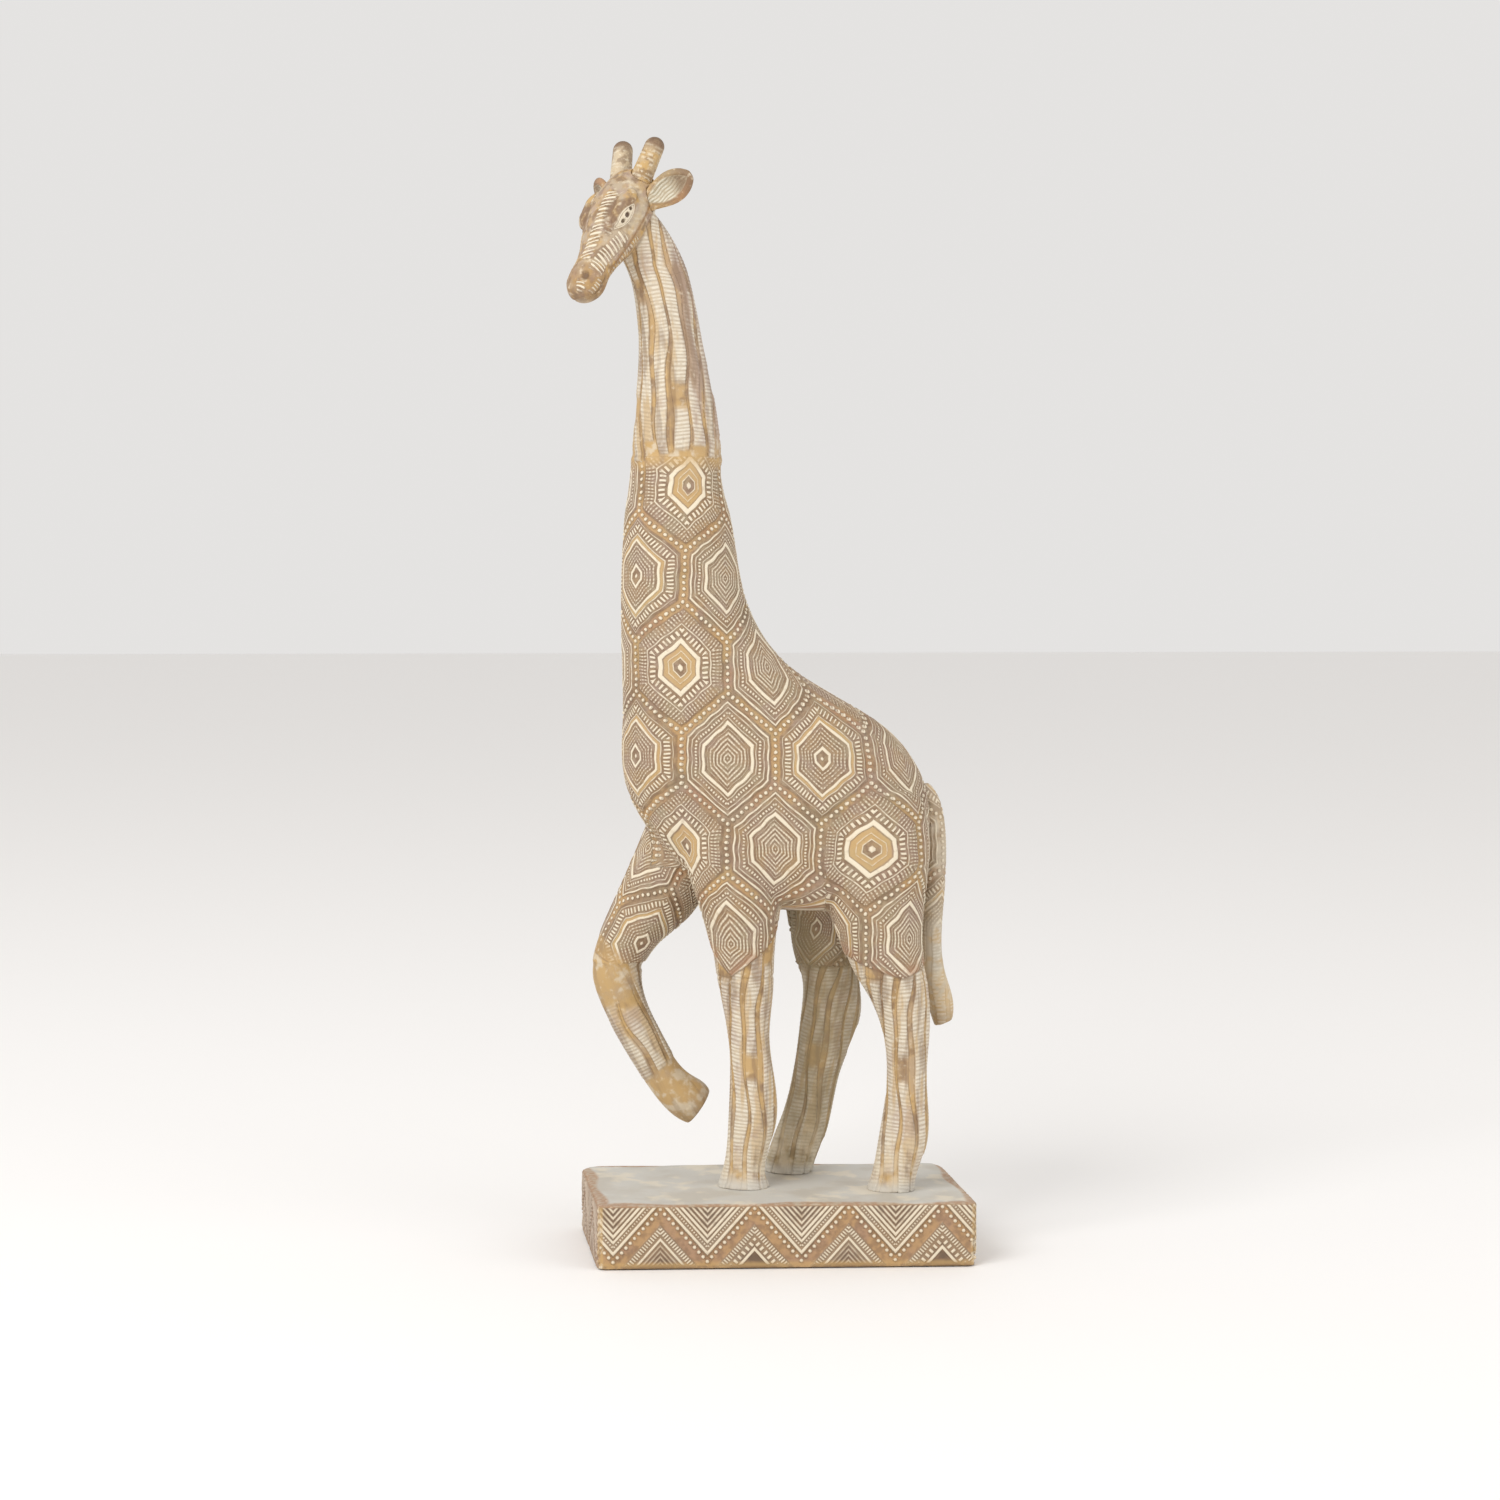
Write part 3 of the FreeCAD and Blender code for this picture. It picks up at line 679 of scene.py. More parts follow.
def cell_drift(points, owner, wrapped):
    """Across and up for the cells, whose columns and rows drift over the body."""
    x, _, z = points.T
    across = wrapped - NECK_LEAN * np.maximum(z - NECK_LEAN_START, 0)
    across = across - np.choose(owner, LEG_CELLS_BACK) * ease(z, *LEG_CELLS_HEIGHTS)
    across = across + BREAST_CELLS_FORWARD * ease(wrapped, *BREAST_PLACE)
    rump_shift = between(HAUNCH_CELLS_FORWARD, -RUMP_CELLS_BACK, ease(z, *RUMP_HEIGHTS))
    across = across + rump_shift * ease(wrapped, *RUMP_PLACE)
    up = z + NAPE_ROWS_LOWER * ease(z, *NAPE_HEIGHTS) * ease(x, *NAPE_PLACE)
    return across, up + np.choose(owner, LEG_ROWS_LOWER) * ease(z, *LEG_ROWS_HEIGHTS)


KNEE_CAP_MIDDLE = (-6, 0, -3)
KNEE_CAP_EDGE = (12, 9.5)
HOOF_CAP_EDGE = (17, 15)
LANE_END_SOFT = 0.8


def lane_ends(across, along):
    """The height at which each of the neck's bark lanes starts above the cells."""
    lane = np.floor(lane_place(across, along))
    return SKIN_TOP + 2 + 5 * np.sin(lane * 2.9)


def bare_places(points, casting, bark_across, along):
    """1 where neither cells nor bark grow: round the neck, on the raised knee and on its hoof."""
    z = points[:, 2]
    lane_end = lane_ends(bark_across, along)
    round_neck = ease(z, SKIN_TOP - 5, SKIN_TOP)
    round_neck = round_neck * ease(z, lane_end + LANE_END_SOFT, lane_end - LANE_END_SOFT)
    from_knee = np.linalg.norm(points - casting.knee - KNEE_CAP_MIDDLE, axis=1)
    from_hoof = np.linalg.norm(points - casting.hoof, axis=1)
    return highest(round_neck, ease(from_knee, *KNEE_CAP_EDGE), ease(from_hoof, *HOOF_CAP_EDGE))


# ---------------------------------------------------------------- the head's own frame

HEAD_TURN = math.radians(38)
HEAD_DIP = math.radians(56.5)
HEAD_AHEAD = np.array([-math.cos(HEAD_TURN) * math.cos(HEAD_DIP),
                       -math.sin(HEAD_TURN) * math.cos(HEAD_DIP),
                       -math.sin(HEAD_DIP)])
HEAD_LEFT = np.array([math.sin(HEAD_TURN), -math.cos(HEAD_TURN), 0])
HEAD_BROW = np.cross(HEAD_AHEAD, HEAD_LEFT)
EAR_PINS_BELOW = 1.5
EAR_PINS_AHEAD = 1.4
ear_pins_middle = sum(sum(node_box(f"ear_{side}_pin")) for side in ("left", "right")) / 4
POLL = ear_pins_middle + HEAD_BROW * EAR_PINS_BELOW - HEAD_AHEAD * EAR_PINS_AHEAD


def head_coordinates(points):
    """Towards the left ear, out of the brow and towards the nose, from the poll."""
    offset = points - POLL
    return offset @ HEAD_LEFT, offset @ HEAD_BROW, offset @ HEAD_AHEAD


EYE_AHEAD = 10.8
EYE_ABOVE = 4.3
EYE_HALF_LENGTH = 4.1
EYE_HALF_HEIGHT = 1.6
EYE_PITS = ((-0.62, 0.15, 0.5), (-0.12, 0, 0.68), (0.36, -0.1, 0.55))


def nape(brow, ahead):
    """1 on the neck behind the skull and under the jaw, 0 on the face."""
    return ease(brow + greater(ahead - 8, 0) * 0.25, -3.4, -4.6)


def eye(side, brow, ahead):
    """An almond between its lids: the rim, the inside, dark pits and the shaded socket."""
    along = (ahead - EYE_AHEAD) / EYE_HALF_LENGTH
    from_lid = absolute(brow - EYE_ABOVE) - (1 - along * along) * EYE_HALF_HEIGHT
    near = ease(absolute(along), 1.25, 1.0) * ease(side, 4, 5.5)
    pits = 0
    for place, above, radius in EYE_PITS:
        apart_x = ahead - EYE_AHEAD - place * EYE_HALF_LENGTH
        apart_y = brow - EYE_ABOVE - above
        pit = ease(root(apart_x * apart_x + apart_y * apart_y), radius + 0.2, radius - 0.25)
        pits = greater(pits, pit * near)
    rim = band(from_lid, 0, 0.2, 0.25) * near
    inside = ease(from_lid, 0, -0.5) * near
    above_eye = ease(brow, EYE_ABOVE - 0.5, EYE_ABOVE + 0.8) * ease(side, 2.8, 4.2)
    socket = ease(from_lid, 3.2, 1.6) * above_eye * ease(absolute(along), 1.8, 1.2)
    return rim, inside, pits, socket * (1 - inside)


def stripe(offset, half_width, run, start, end):
    """A stripe that runs along the head from a start to an end."""
    ends = ease(run, start - 0.8, start + 0.8) * ease(run, end + 0.8, end - 0.8)
    return band(offset, 0, half_width, 0.35) * ends


def face(left, brow, ahead):
    """The face's shares of: cream strokes, dark creases, brown, pale, rust, and deep shape."""
    side = absolute(left)
    rim, inside, pits, socket = eye(side, brow, ahead)
    uneven = sine(ahead * 2.1 + left * 1.7 + brow) * 0.15

    forehead_middle = 3.15 - ahead * 0.03 - greater(ahead - 14, 0) * 0.15
    forehead = stripe(left - forehead_middle, 1.7, ahead, 4.5, 25) * ease(brow, 2, 4)
    cheek_middle = ease(ahead, 15, 26) * 0.9 + 1.3
    cheek = stripe(brow - cheek_middle, 1.9, ahead, 14.5, 27.5) * ease(side, 2.5, 3.8)
    jaw = stripe(brow + 3.2, 1.0, ahead, 12, 24) * ease(side, 1.5, 3)
    lip = stripe(brow - 0.4, 0.9, ahead, 28.5, 33.5) * ease(side, 2.5, 3.5)
    brow_ticks = stripe(side - 5.2, 0.9, ahead, 14.4, 17) * ease(brow, 3.5, 4.5)
    nose_ticks = stripe(left - 2.6, 1.1, ahead, 31.8, 34.4) * ease(brow, 1.5, 2.5)
    contour = stripe(left + 4.7, 0.45, ahead, 3, 26) * ease(brow, 3, 4.5)
    slanted = ease(wave(ahead + left * 0.4 + uneven, 1.15), 0.15, 0.8)
    crossing = ease(wave(ahead + brow * 0.35 + uneven, 1.15), 0.15, 0.8)
    fine = ease(wave(ahead + uneven, 0.95), 0.15, 0.8)
    strokes = highest(
        forehead * slanted,
        cheek * crossing,
        greater(jaw, lip) * fine * 0.65,
        greater(brow_ticks, nose_ticks) * fine,
        contour * (fine * 0.4 + 0.5),
    )
    strokes = greater(strokes * (1 - inside) * (1 - socket * 0.7), rim * 0.9)
    strokes = greater(strokes, inside * 0.85) * (1 - pits)

    nostril_x = (side - 3.4) / 0.8
    nostril_y = (ahead - 30.0) / 1.3
    nostril = ease(root(nostril_x * nostril_x + nostril_y * nostril_y), 1.5, 0.5) * ease(brow, 1, 2)
    mouth = band(brow, -1.1, 0.12, 0.35) * ease(ahead, 25.5, 28)
    jaw_line = band(brow + greater(ahead - 8, 0) * 0.05, -1.5, 0.35, 0.5) * ease(ahead, 27, 24)
    creases = highest(
        nostril * 0.8,
        mouth,
        pits,
        jaw_line * ease(side, 3, 4.5) * 0.6,
        band(socket, 0.5, 0.1, 0.25) * 0.35,
    )
    muzzle = ease(ahead, 25, 27)
    brown = highest(
        socket * 0.95,
        ease(ahead, 31.5, 35) * 0.85,
        muzzle * ease(left, 1, -3) * 0.6,
        muzzle * 0.4,
    )
    temple = stripe(brow - 4.2, 1.7, ahead, -0.6, 3) * ease(side, 4, 5)
    below_eye = ease(brow, 3.2, 2.0) * ease(brow, -1.5, -0.2) * ease(ahead, 1, 4) * ease(ahead, 17, 13)
    pale = greater(temple * 0.8, below_eye * ease(side, 5, 6.5) * 0.8)
    rust = jaw_line * ease(side, 2, 4) * 0.9 + muzzle * 0.25
    deep = nostril * 0.8 + mouth * 0.35 + pits * 0.45 + inside * 0.3 + socket * 0.25 - rim * 0.25
    return strokes, creases, brown, pale, rust, deep


# ---------------------------------------------------------------- plinth chevrons

CHEVRON_PERIOD = 26.0
CHEVRON_HIGH = PLINTH_TOP - 1.2
CHEVRON_LOW = 2.2
CHEVRON_BEADS = 11
FIRST_PEAK = 35.2


def chevrons(run, height):
    """A beaded zigzag with nested chevrons above and below it: ridges, grooves and dark hollows."""
    rise = CHEVRON_HIGH - CHEVRON_LOW
    half = CHEVRON_PERIOD / 2
    slope = math.atan2(rise, half)
    phase = run / CHEVRON_PERIOD
    number = whole(phase + 0.5)
    swing = absolute(phase - number) * 2
    off = (height - (rise * (1 - swing) + CHEVRON_LOW)) * math.cos(slope)
    along = swing * half * math.cos(slope) + (CHEVRON_HIGH - height) * math.sin(slope)
    bead_pitch = math.hypot(rise, half) / CHEVRON_BEADS
    dots = beads(along / bead_pitch, absolute(off), bead_pitch)
    groove = ease(off, -3.0, -2.7) * ease(off, 1.0, 0.7)
    above = greater(off, 0)
    below = greater(0 - off, 0)
    stipple = wave(along, 0.85)

    upper = highest(
        band(above, 1.55, 0.38, 0.15),
        band(above, 2.65, 0.28, 0.15) * stipple * 0.8,
        band(above, 3.6, 0.3, 0.15),
        band(above, 4.7, 0.36, 0.15) * 0.95,
        wave(above - 5.8, 1.15) * ease(above, 5.2, 5.4) * 0.75,
    )
    odd = absolute(number - whole(number / 2) * 2)
    solid_line = band(below, 5.55, 0.32, 0.15)
    dashes = band(below, 5.9, 0.65, 0.15) * ease(wave(along, 1.6), 0.4, 0.7)
    thin_rows = wave(below - 6.7, 1.0) * 0.5
    one_row = band(below, 7.4, 0.38, 0.15)
    lower = highest(
        band(below, 3.85, 0.75, 0.15) * ease(stipple, 0.15, 0.8) * 0.8,
        between(solid_line, dashes, odd),
        between(thin_rows, one_row, odd) * ease(below, 6.2, 6.5),
    )
    framed = ease(height, 1.0, 1.6) * ease(height, PLINTH_TOP - 0.3, PLINTH_TOP - 0.9)
    ridges = greater(greater(upper, lower) * (1 - groove), dots) * framed
    core = ease(above, 2, 7) + ease(below, 5.5, 8)
    hollows = (1 - ridges) * (1 - groove) * (core * 0.4 + 0.55)
    return ridges, groove * (1 - dots), hollows


# ---------------------------------------------------------------- materials

CREAM = (0.78, 0.69, 0.53)
WHITE = (0.80, 0.76, 0.66)
PALE = (0.60, 0.51, 0.37)
BARK_PALE = (0.66, 0.58, 0.45)
TAN = (0.44, 0.31, 0.185)
BROWN = (0.21, 0.125, 0.070)
DARK = (0.080, 0.048, 0.030)
OCHRE = (0.53, 0.34, 0.13)
RUST = (0.36, 0.18, 0.090)
WASH = (0.46, 0.41, 0.33)
OLIVE = (0.27, 0.21, 0.11)
AMBER = (0.46, 0.25, 0.10)
MAUVE = (0.40, 0.29, 0.24)
SAGE = (0.42, 0.38, 0.25)
PLASTER = (0.56, 0.54, 0.49)
STEEL = (0.45, 0.46, 0.48)
FELT = (0.030, 0.022, 0.017)

STREAK_WIDTH = 3.2
STREAK_LENGTH = 22
STREAK_SEED = 61.0
BUMP_DEPTH = 0.25
BUMP_STRENGTH = 0.6


class Paint:
    """A painted-resin material that is built up in layers."""

    def __init__(self, name):
        self.material = bpy.data.materials.new(name)
        self.material.use_nodes = True
        self.tree = self.material.node_tree
        self.shader = self.tree.nodes["Principled BSDF"]
        self.place = self.node("ShaderNodeTexCoord").outputs["Object"]
        self.colour = None

    def node(self, kind):
        """A new node of a kind in the material's tree."""
        return self.tree.nodes.new(kind)

    def field(self, name):
        """A number stored on the mesh."""
        node = self.node("ShaderNodeAttribute")
        node.attribute_name = name
        return Signal(node.outputs["Fac"])

    def fields(self, *names):
        """Several numbers stored on the mesh."""
        return [self.field(name) for name in names]

    def noise_at(self, place, scale, detail, seed):
        """Smooth noise from 0 to 1 at a place's coordinates times a scale."""
        node = self.node("ShaderNodeTexNoise")
        node.noise_dimensions = "4D"
        node.inputs["W"].default_value = seed
        node.inputs["Scale"].default_value = scale
        node.inputs["Detail"].default_value = detail
        self.tree.links.new(place, node.inputs["Vector"])
        return Signal(node.outputs["Fac"])

    def noise(self, size, detail, seed):
        """Smooth noise from 0 to 1 whose blots are about size millimetres across."""
        return self.noise_at(self.place, 1 / (size * MM), detail, seed)

    def noises(self, *settings):
        """Several noises, each from its size, detail and seed."""
        return [self.noise(*setting) for setting in settings]

    def patches(self, size, seed, bare, full):
        """0 to 1 in patches: 0 where noise is at the bare level and 1 where it is at the full one."""
        return ease(self.noise(size, 3, seed), bare, full)

    def streaks(self, across, along, seed):
        """Smooth noise from 0 to 1 in blots drawn out along a limb."""
        place = self.node("ShaderNodeCombineXYZ")
        feed(self.tree, across / STREAK_WIDTH, place.inputs["X"])
        feed(self.tree, along / STREAK_LENGTH, place.inputs["Y"])
        return self.noise_at(place.outputs["Vector"], 1, 3, seed)

    def base(self, colour):
        """The colour under all layers."""
        node = self.node("ShaderNodeRGB")
        node.outputs[0].default_value = (*colour, 1)
        self.colour = node.outputs[0]
        return self

    def blend(self, lower, upper, share):
        """One colour socket over another, by a share from 0 to 1."""
        node = self.node("ShaderNodeMix")
        node.data_type = "RGBA"
        feed(self.tree, share, node.inputs["Factor"])
        self.tree.links.new(lower, node.inputs["A"])
        self.tree.links.new(upper, node.inputs["B"])
        self.colour = node.outputs["Result"]
        return self

    def layer(self, colour, share):
        """Paint over what is there, by a share from 0 to 1."""
        under_paint = self.colour
        return self.base(colour).blend(under_paint, self.colour, share)

    def finish(self, height):
        """Colour, uneven gloss and fine relief, whose height is in shares of the bump's depth."""
        self.tree.links.new(self.colour, self.shader.inputs["Base Color"])
        feed(self.tree, self.noise(6, 2, 8.0) * 0.2 + 0.5, self.shader.inputs["Roughness"])
        bump = self.node("ShaderNodeBump")
        bump.inputs["Strength"].default_value = BUMP_STRENGTH
        bump.inputs["Distance"].default_value = BUMP_DEPTH * MM
        feed(self.tree, height, bump.inputs["Height"])
        self.tree.links.new(bump.outputs["Normal"], self.shader.inputs["Normal"])
        return self.material


def outline(ridges):
    """1 on the flanks of a ridge, where brown paint stays after the top is rubbed."""
    return ridges * (1 - ridges) * 4


def rubbed_tops(ridges, specks):
    """Ridges with their pale paint worn through in places."""
    return ease(ridges * (ease(specks, 0.30, 0.55) * 0.40 + 0.60), 0.15, 0.85) * 0.95


def paint_cells(paint):
    """Layers for the hexagon skin; returns its height."""
    ridges, grooves, ochre, seed = hexagon_skin(*paint.fields("across", "up"))
    blots, specks, fine = paint.noises((12, 3, 1.0), (1.8, 4, 2.0), (0.45, 2, 3.0))
    paint.layer(OCHRE, scatter(seed) * ease(blots, 0.40, 0.60) * 0.45)
    paint.layer(WASH, paint.patches(8, 4.0, 0.48, 0.60) * 0.4)
    paint.layer(SAGE, paint.patches(7, 16.0, 0.50, 0.60) * 0.5)
    paint.layer(MAUVE, paint.patches(7, 17.0, 0.50, 0.60) * 0.6)
    paint.layer(OCHRE, ochre * 0.65)
    hollows = ease(ridges, 0.5, 0.05) * (1 - grooves) * (1 - ochre)
    paint.layer(BROWN, hollows * (ease(specks, 0.35, 0.62) * 0.45 + 0.40))
    paint.layer(BROWN, outline(ridges) * (1 - ochre) * 0.45)
    paint.layer(BROWN, grooves * (ease(blots, 0.56, 0.42) * 0.5 + 0.25))
    paint.layer(RUST, grooves * ease(blots, 0.48, 0.60) * 0.5)
    paint.layer(OCHRE, grooves * paint.patches(14, 20.0, 0.52, 0.60) * 0.5)
    paint.layer(CREAM, rubbed_tops(ridges, specks))
    paint.layer(DARK, ease(fine, 0.60, 0.76) * 0.3 * (1 - ridges))
    return ridges - grooves * 0.8 + fine * 0.2


def paint_bark(paint):
    """Layers for the bark lanes; returns its height."""
    across, along, bare = paint.fields("bark_across", "bark_along", "bare")
    growing = 1 - bare
    lane, strokes, creases = [share * growing for share in bark(across, along)]
    blots, specks, fine = paint.noises((9, 3, 5.0), (1.6, 4, 6.0), (0.45, 2, 7.0))
    streaks = paint.streaks(across, along, STREAK_SEED)
    worn = paint.streaks(across, along, 62.0)
    paint.layer(OCHRE, ease(blots, 0.36, 0.54) * 0.75)
    paint.layer(BROWN, paint.patches(5, 9.0, 0.48, 0.60) * growing * 0.6)
    paint.layer(BARK_PALE, lane * (ease(specks, 0.3, 0.5) * 0.25 + 0.60))
    paint.layer(OCHRE, ease(worn, 0.52, 0.60) * 0.5)
    paint.layer(MAUVE, lane * ease(blots, 0.50, 0.62) * 0.45)
    # Painted shade: mauve down the back of the neck above the cells, and a little more brown streaking
    # there.
    lee = ease(across, 0, 6) * ease(along, SKIN_TOP, SKIN_TOP + 8)
    paint.layer(MAUVE, lee * ease(worn, 0.40, 0.55) * 0.7)
    paint.layer(BROWN, (lane - strokes) * (ease(specks, 0.3, 0.6) * 0.22 + 0.06))
    paint.layer(WHITE, strokes * ease(worn, 0.60, 0.46) * (ease(specks, 0.35, 0.6) * 0.35 + 0.15))
    paint.layer(BARK_PALE, (1 - growing) * paint.patches(4, 63.0, 0.50, 0.62) * 0.65)
    paint.layer(BROWN, ease(streaks + lee * 0.03, 0.51, 0.61) * (growing * 0.2 + 0.3))
    paint.layer(BROWN, creases * (ease(specks, 0.3, 0.55) * 0.4 + 0.45))
    paint.layer(CREAM, ease(specks, 0.56, 0.72) * 0.4)
    paint.layer(DARK, ease(fine, 0.62, 0.78) * 0.2)
    return lane * 0.5 + strokes * 0.3 - creases * 0.5 + fine * 0.25


def body_paint():
    """Hexagon cells, with bark where the skin has ended above the knees."""
    paint = Paint("patterned_resin_paint").base(TAN)
    height = paint_cells(paint)
    skin_colour = paint.colour
    paint.base(TAN)
    bark_height = paint_bark(paint)
    skin, lee, bare = paint.fields("skin", "lee", "bare")
    on_skin = ease(skin, -0.2, 0.2)
    paint.blend(paint.colour, skin_colour, on_skin)
    near_edge = ease(skin, 5, 0.5) * on_skin
    paint.layer(RUST, near_edge * paint.patches(5, 18.0, 0.44, 0.56) * 0.6)
    paint.layer(BROWN, band(skin, 0, 0.35, 0.35) * 0.55)
    # Painted shade: the far hind thigh, which stands in shadow, is darkened with olive.
    paint.layer(OLIVE, lee * (paint.patches(4, 55.0, 0.3, 0.6) * 0.25 + 0.6))
    bare = bare * on_skin
    streaks = paint.streaks(*paint.fields("bark_across", "bark_along"), STREAK_SEED)
    paint.layer(OCHRE, bare * (paint.patches(3, 10.0, 0.35, 0.6) * 0.35 + 0.5))
    paint.layer(BROWN, bare * ease(streaks, 0.52, 0.62) * 0.3)
    paint.layer(CREAM, bare * ease(paint.noise(1.8, 4, 2.0), 0.54, 0.70) * 0.5)
    return paint.finish(between(bark_height, height * (1 - bare), on_skin))


def bark_paint():
    """Bark lanes for a whole casting, paler at the foot and darker with painted shade on the legs that
    stand in shadow.
    """
    paint = Paint("bark_resin_paint").base(TAN)
    height = paint_bark(paint)
    patina, foot = paint.fields("patina", "foot")
    # Painted shade: olive darkening on the lower legs that stand in shadow.
    paint.layer(OLIVE, patina * (paint.patches(4, 46.0, 0.3, 0.6) * 0.3 + 0.35))
    paint.layer(CREAM, ease(foot, 22, 3) * paint.patches(3, 47.0, 0.35, 0.6) * 0.45)
    paint.layer(PLASTER, ease(foot, 4, 1) * 0.7)
    return paint.finish(height)


def at_tail_root(height):
    """1 where the tail carries the rump's cells and 0 below them."""
    return ease(height, TAIL_CELLS_END - TAIL_CELLS_FADE, TAIL_CELLS_END + TAIL_CELLS_FADE)


def tail_paint():
    """The rump's cells at the root, then rubbed grey-cream with faint strokes, and an ochre tuft."""
    paint = Paint("tail_resin_paint").base(TAN)
    cells_height = paint_cells(paint)
    cells_colour = paint.colour
    across, along = paint.fields("bark_across", "bark_along")
    _, strokes, creases = bark(across, along)
    specks, fine = paint.noises((1.6, 4, 52.0), (0.45, 2, 54.0))
    paint.base(PALE)
    paint.layer(WASH, paint.patches(7, 51.0, 0.42, 0.58) * 0.6)
    paint.layer(OCHRE, paint.patches(5, 53.0, 0.50, 0.62) * 0.5)
    paint.layer(OCHRE, ease(along, TAIL_TUFT_TOP, TAIL_TUFT_TOP - 10) * ease(specks, 0.35, 0.6) * 0.6)
    paint.layer(BROWN, ease(along, TAIL_TUFT_TOP - 10, TAIL_TUFT_TOP - 16) * 0.35)
    paint.layer(BROWN, creases * (ease(specks, 0.3, 0.6) * 0.35 + 0.1))
    paint.layer(WHITE, strokes * ease(specks, 0.40, 0.6) * 0.35)
    root_share = at_tail_root(along)
    paint.blend(paint.colour, cells_colour, root_share * 0.7)
    paint.layer(BARK_PALE, root_share * paint.patches(6, 56.0, 0.40, 0.56) * 0.5)
    bare_height = strokes * 0.15 - creases * 0.3 + fine * 0.3
    return paint.finish(between(bare_height, cells_height * 0.6, root_share))


def head_paint():
    """Mottled ochre face with rubbed strokes and dark pits, and bark on the nape."""
    paint = Paint("head_resin_paint").base(TAN)
    bark_height = paint_bark(paint)
    bark_colour = paint.colour
    left, brow, ahead = paint.fields("head_left", "head_brow", "head_ahead")
    strokes, creases, brown, pale, rust, _ = face(left, brow, ahead)
    specks, fine = paint.noises((1.3, 4, 12.0), (0.45, 2, 13.0))
    paint.base(OCHRE)
    paint.layer(TAN, paint.patches(5, 11.0, 0.42, 0.58) * 0.8)
    paint.layer(WASH, paint.patches(4, 14.0, 0.46, 0.60) * 0.5)
    paint.layer(BROWN, paint.patches(2.2, 15.0, 0.47, 0.60) * 0.7)
    paint.layer(MAUVE, paint.patches(3, 19.0, 0.50, 0.60) * 0.5)
    paint.layer(AMBER, rust)
    paint.layer(BROWN, brown * (ease(specks, 0.65, 0.4) * 0.45 + 0.5))
    paint.layer(PALE, pale * (ease(specks, 0.35, 0.6) * 0.5 + 0.25))
    paint.layer(CREAM, ease(specks, 0.55, 0.70) * 0.45)
    paint.layer(BROWN, outline(strokes) * 0.4)
    paint.layer(CREAM, rubbed_tops(strokes, specks))
    paint.layer(DARK, creases * 0.7)
    paint.layer(DARK, ease(fine, 0.62, 0.78) * 0.2)
    behind = nape(brow, ahead)
    paint.blend(paint.colour, bark_colour, behind)
    paint.layer(BROWN, outline(behind) * 0.35)
    return paint.finish(between(strokes - creases + fine * 0.2, bark_height, behind))


def ear_paint():
    """A pale stroked leaf inside a brown and ochre rim that darkens to its tip."""
    paint = Paint("ear_paint").base(TAN)
    specks, fine = paint.noises((1.4, 4, 41.0), (0.45, 3, 42.0))
    out, across, facing = paint.fields("out", "across", "facing")
    along_leaf = (out - LEAF_MIDDLE) / LEAF_HALF_LENGTH
    inset = (1 - along_leaf * along_leaf) * LEAF_HALF_WIDTH - absolute(across)
    leaf = ease(inset, -0.2, 0.5) * ease(facing, 0.0, 0.3)
    strokes = wave(across + out * 0.25 + sine(out * 1.3) * 0.15, 0.9)
    paint.layer(OCHRE, ease(specks, 0.4, 0.6) * 0.8)
    paint.layer(RUST, ease(out, 2, 10) * ease(across, -1, 2) * 0.7)
    paint.layer(OLIVE, ease(out, 2, 9) * ease(across, 1, -2) * 0.5)
    paint.layer(BROWN, ease(out, 9, 14) * 0.8)
    paint.layer(BROWN, band(inset, -0.2, 0.3, 0.4) * 0.45)
    paint.layer(CREAM, ease(specks, 0.54, 0.70) * 0.5)
    paint.layer(PALE, leaf * 0.85)
    paint.layer(SAGE, leaf * (ease(specks, 0.42, 0.60) * 0.4 + 0.4))
    paint.layer(WHITE, leaf * strokes * ease(out, 12, 7) * ease(specks, 0.35, 0.55) * 0.6)
    paint.layer(BROWN, leaf * ease(strokes, 0.4, 0.1) * 0.3)
    paint.layer(BROWN, leaf * ease(out, 7, 12) * (ease(specks, 0.35, 0.55) * 0.4 + 0.4))
    return paint.finish(strokes * leaf * 0.6 + fine * 0.4)


def ossicone_paint():
    """Ochre with broken rows of cream dashes and a dark tip; the far one is painted greyer as painted
    shade.
    """
    paint = Paint("ossicone_paint").base(OCHRE)
    specks, fine = paint.noises((1.3, 4, 43.0), (0.45, 3, 44.0))
    out, lee = paint.fields("out", "lee")
    rows = wave(out, 1.3) * ease(paint.noise(1.3, 2, 45.0), 0.46, 0.58)
    # Painted shade: the far ossicone is painted greyer.
    paint.layer(PALE, lee * 0.75)
    paint.layer(WASH, paint.patches(4.5, 48.0, 0.46, 0.58) * 0.4)
    paint.layer(BROWN, paint.patches(2.6, 49.0, 0.50, 0.60) * 0.6)
    tip = ease(out, 6.0, 9) * (ease(specks, 0.62, 0.42) * 0.25 + 0.75)
    paint.layer(BROWN, tip)
    paint.layer(DARK, ease(out, 8.5, 10.7) * 0.5)
    paint.layer(CREAM, rows * (1 - tip) * 0.65)
    return paint.finish(rows * 0.7 + fine * 0.4)


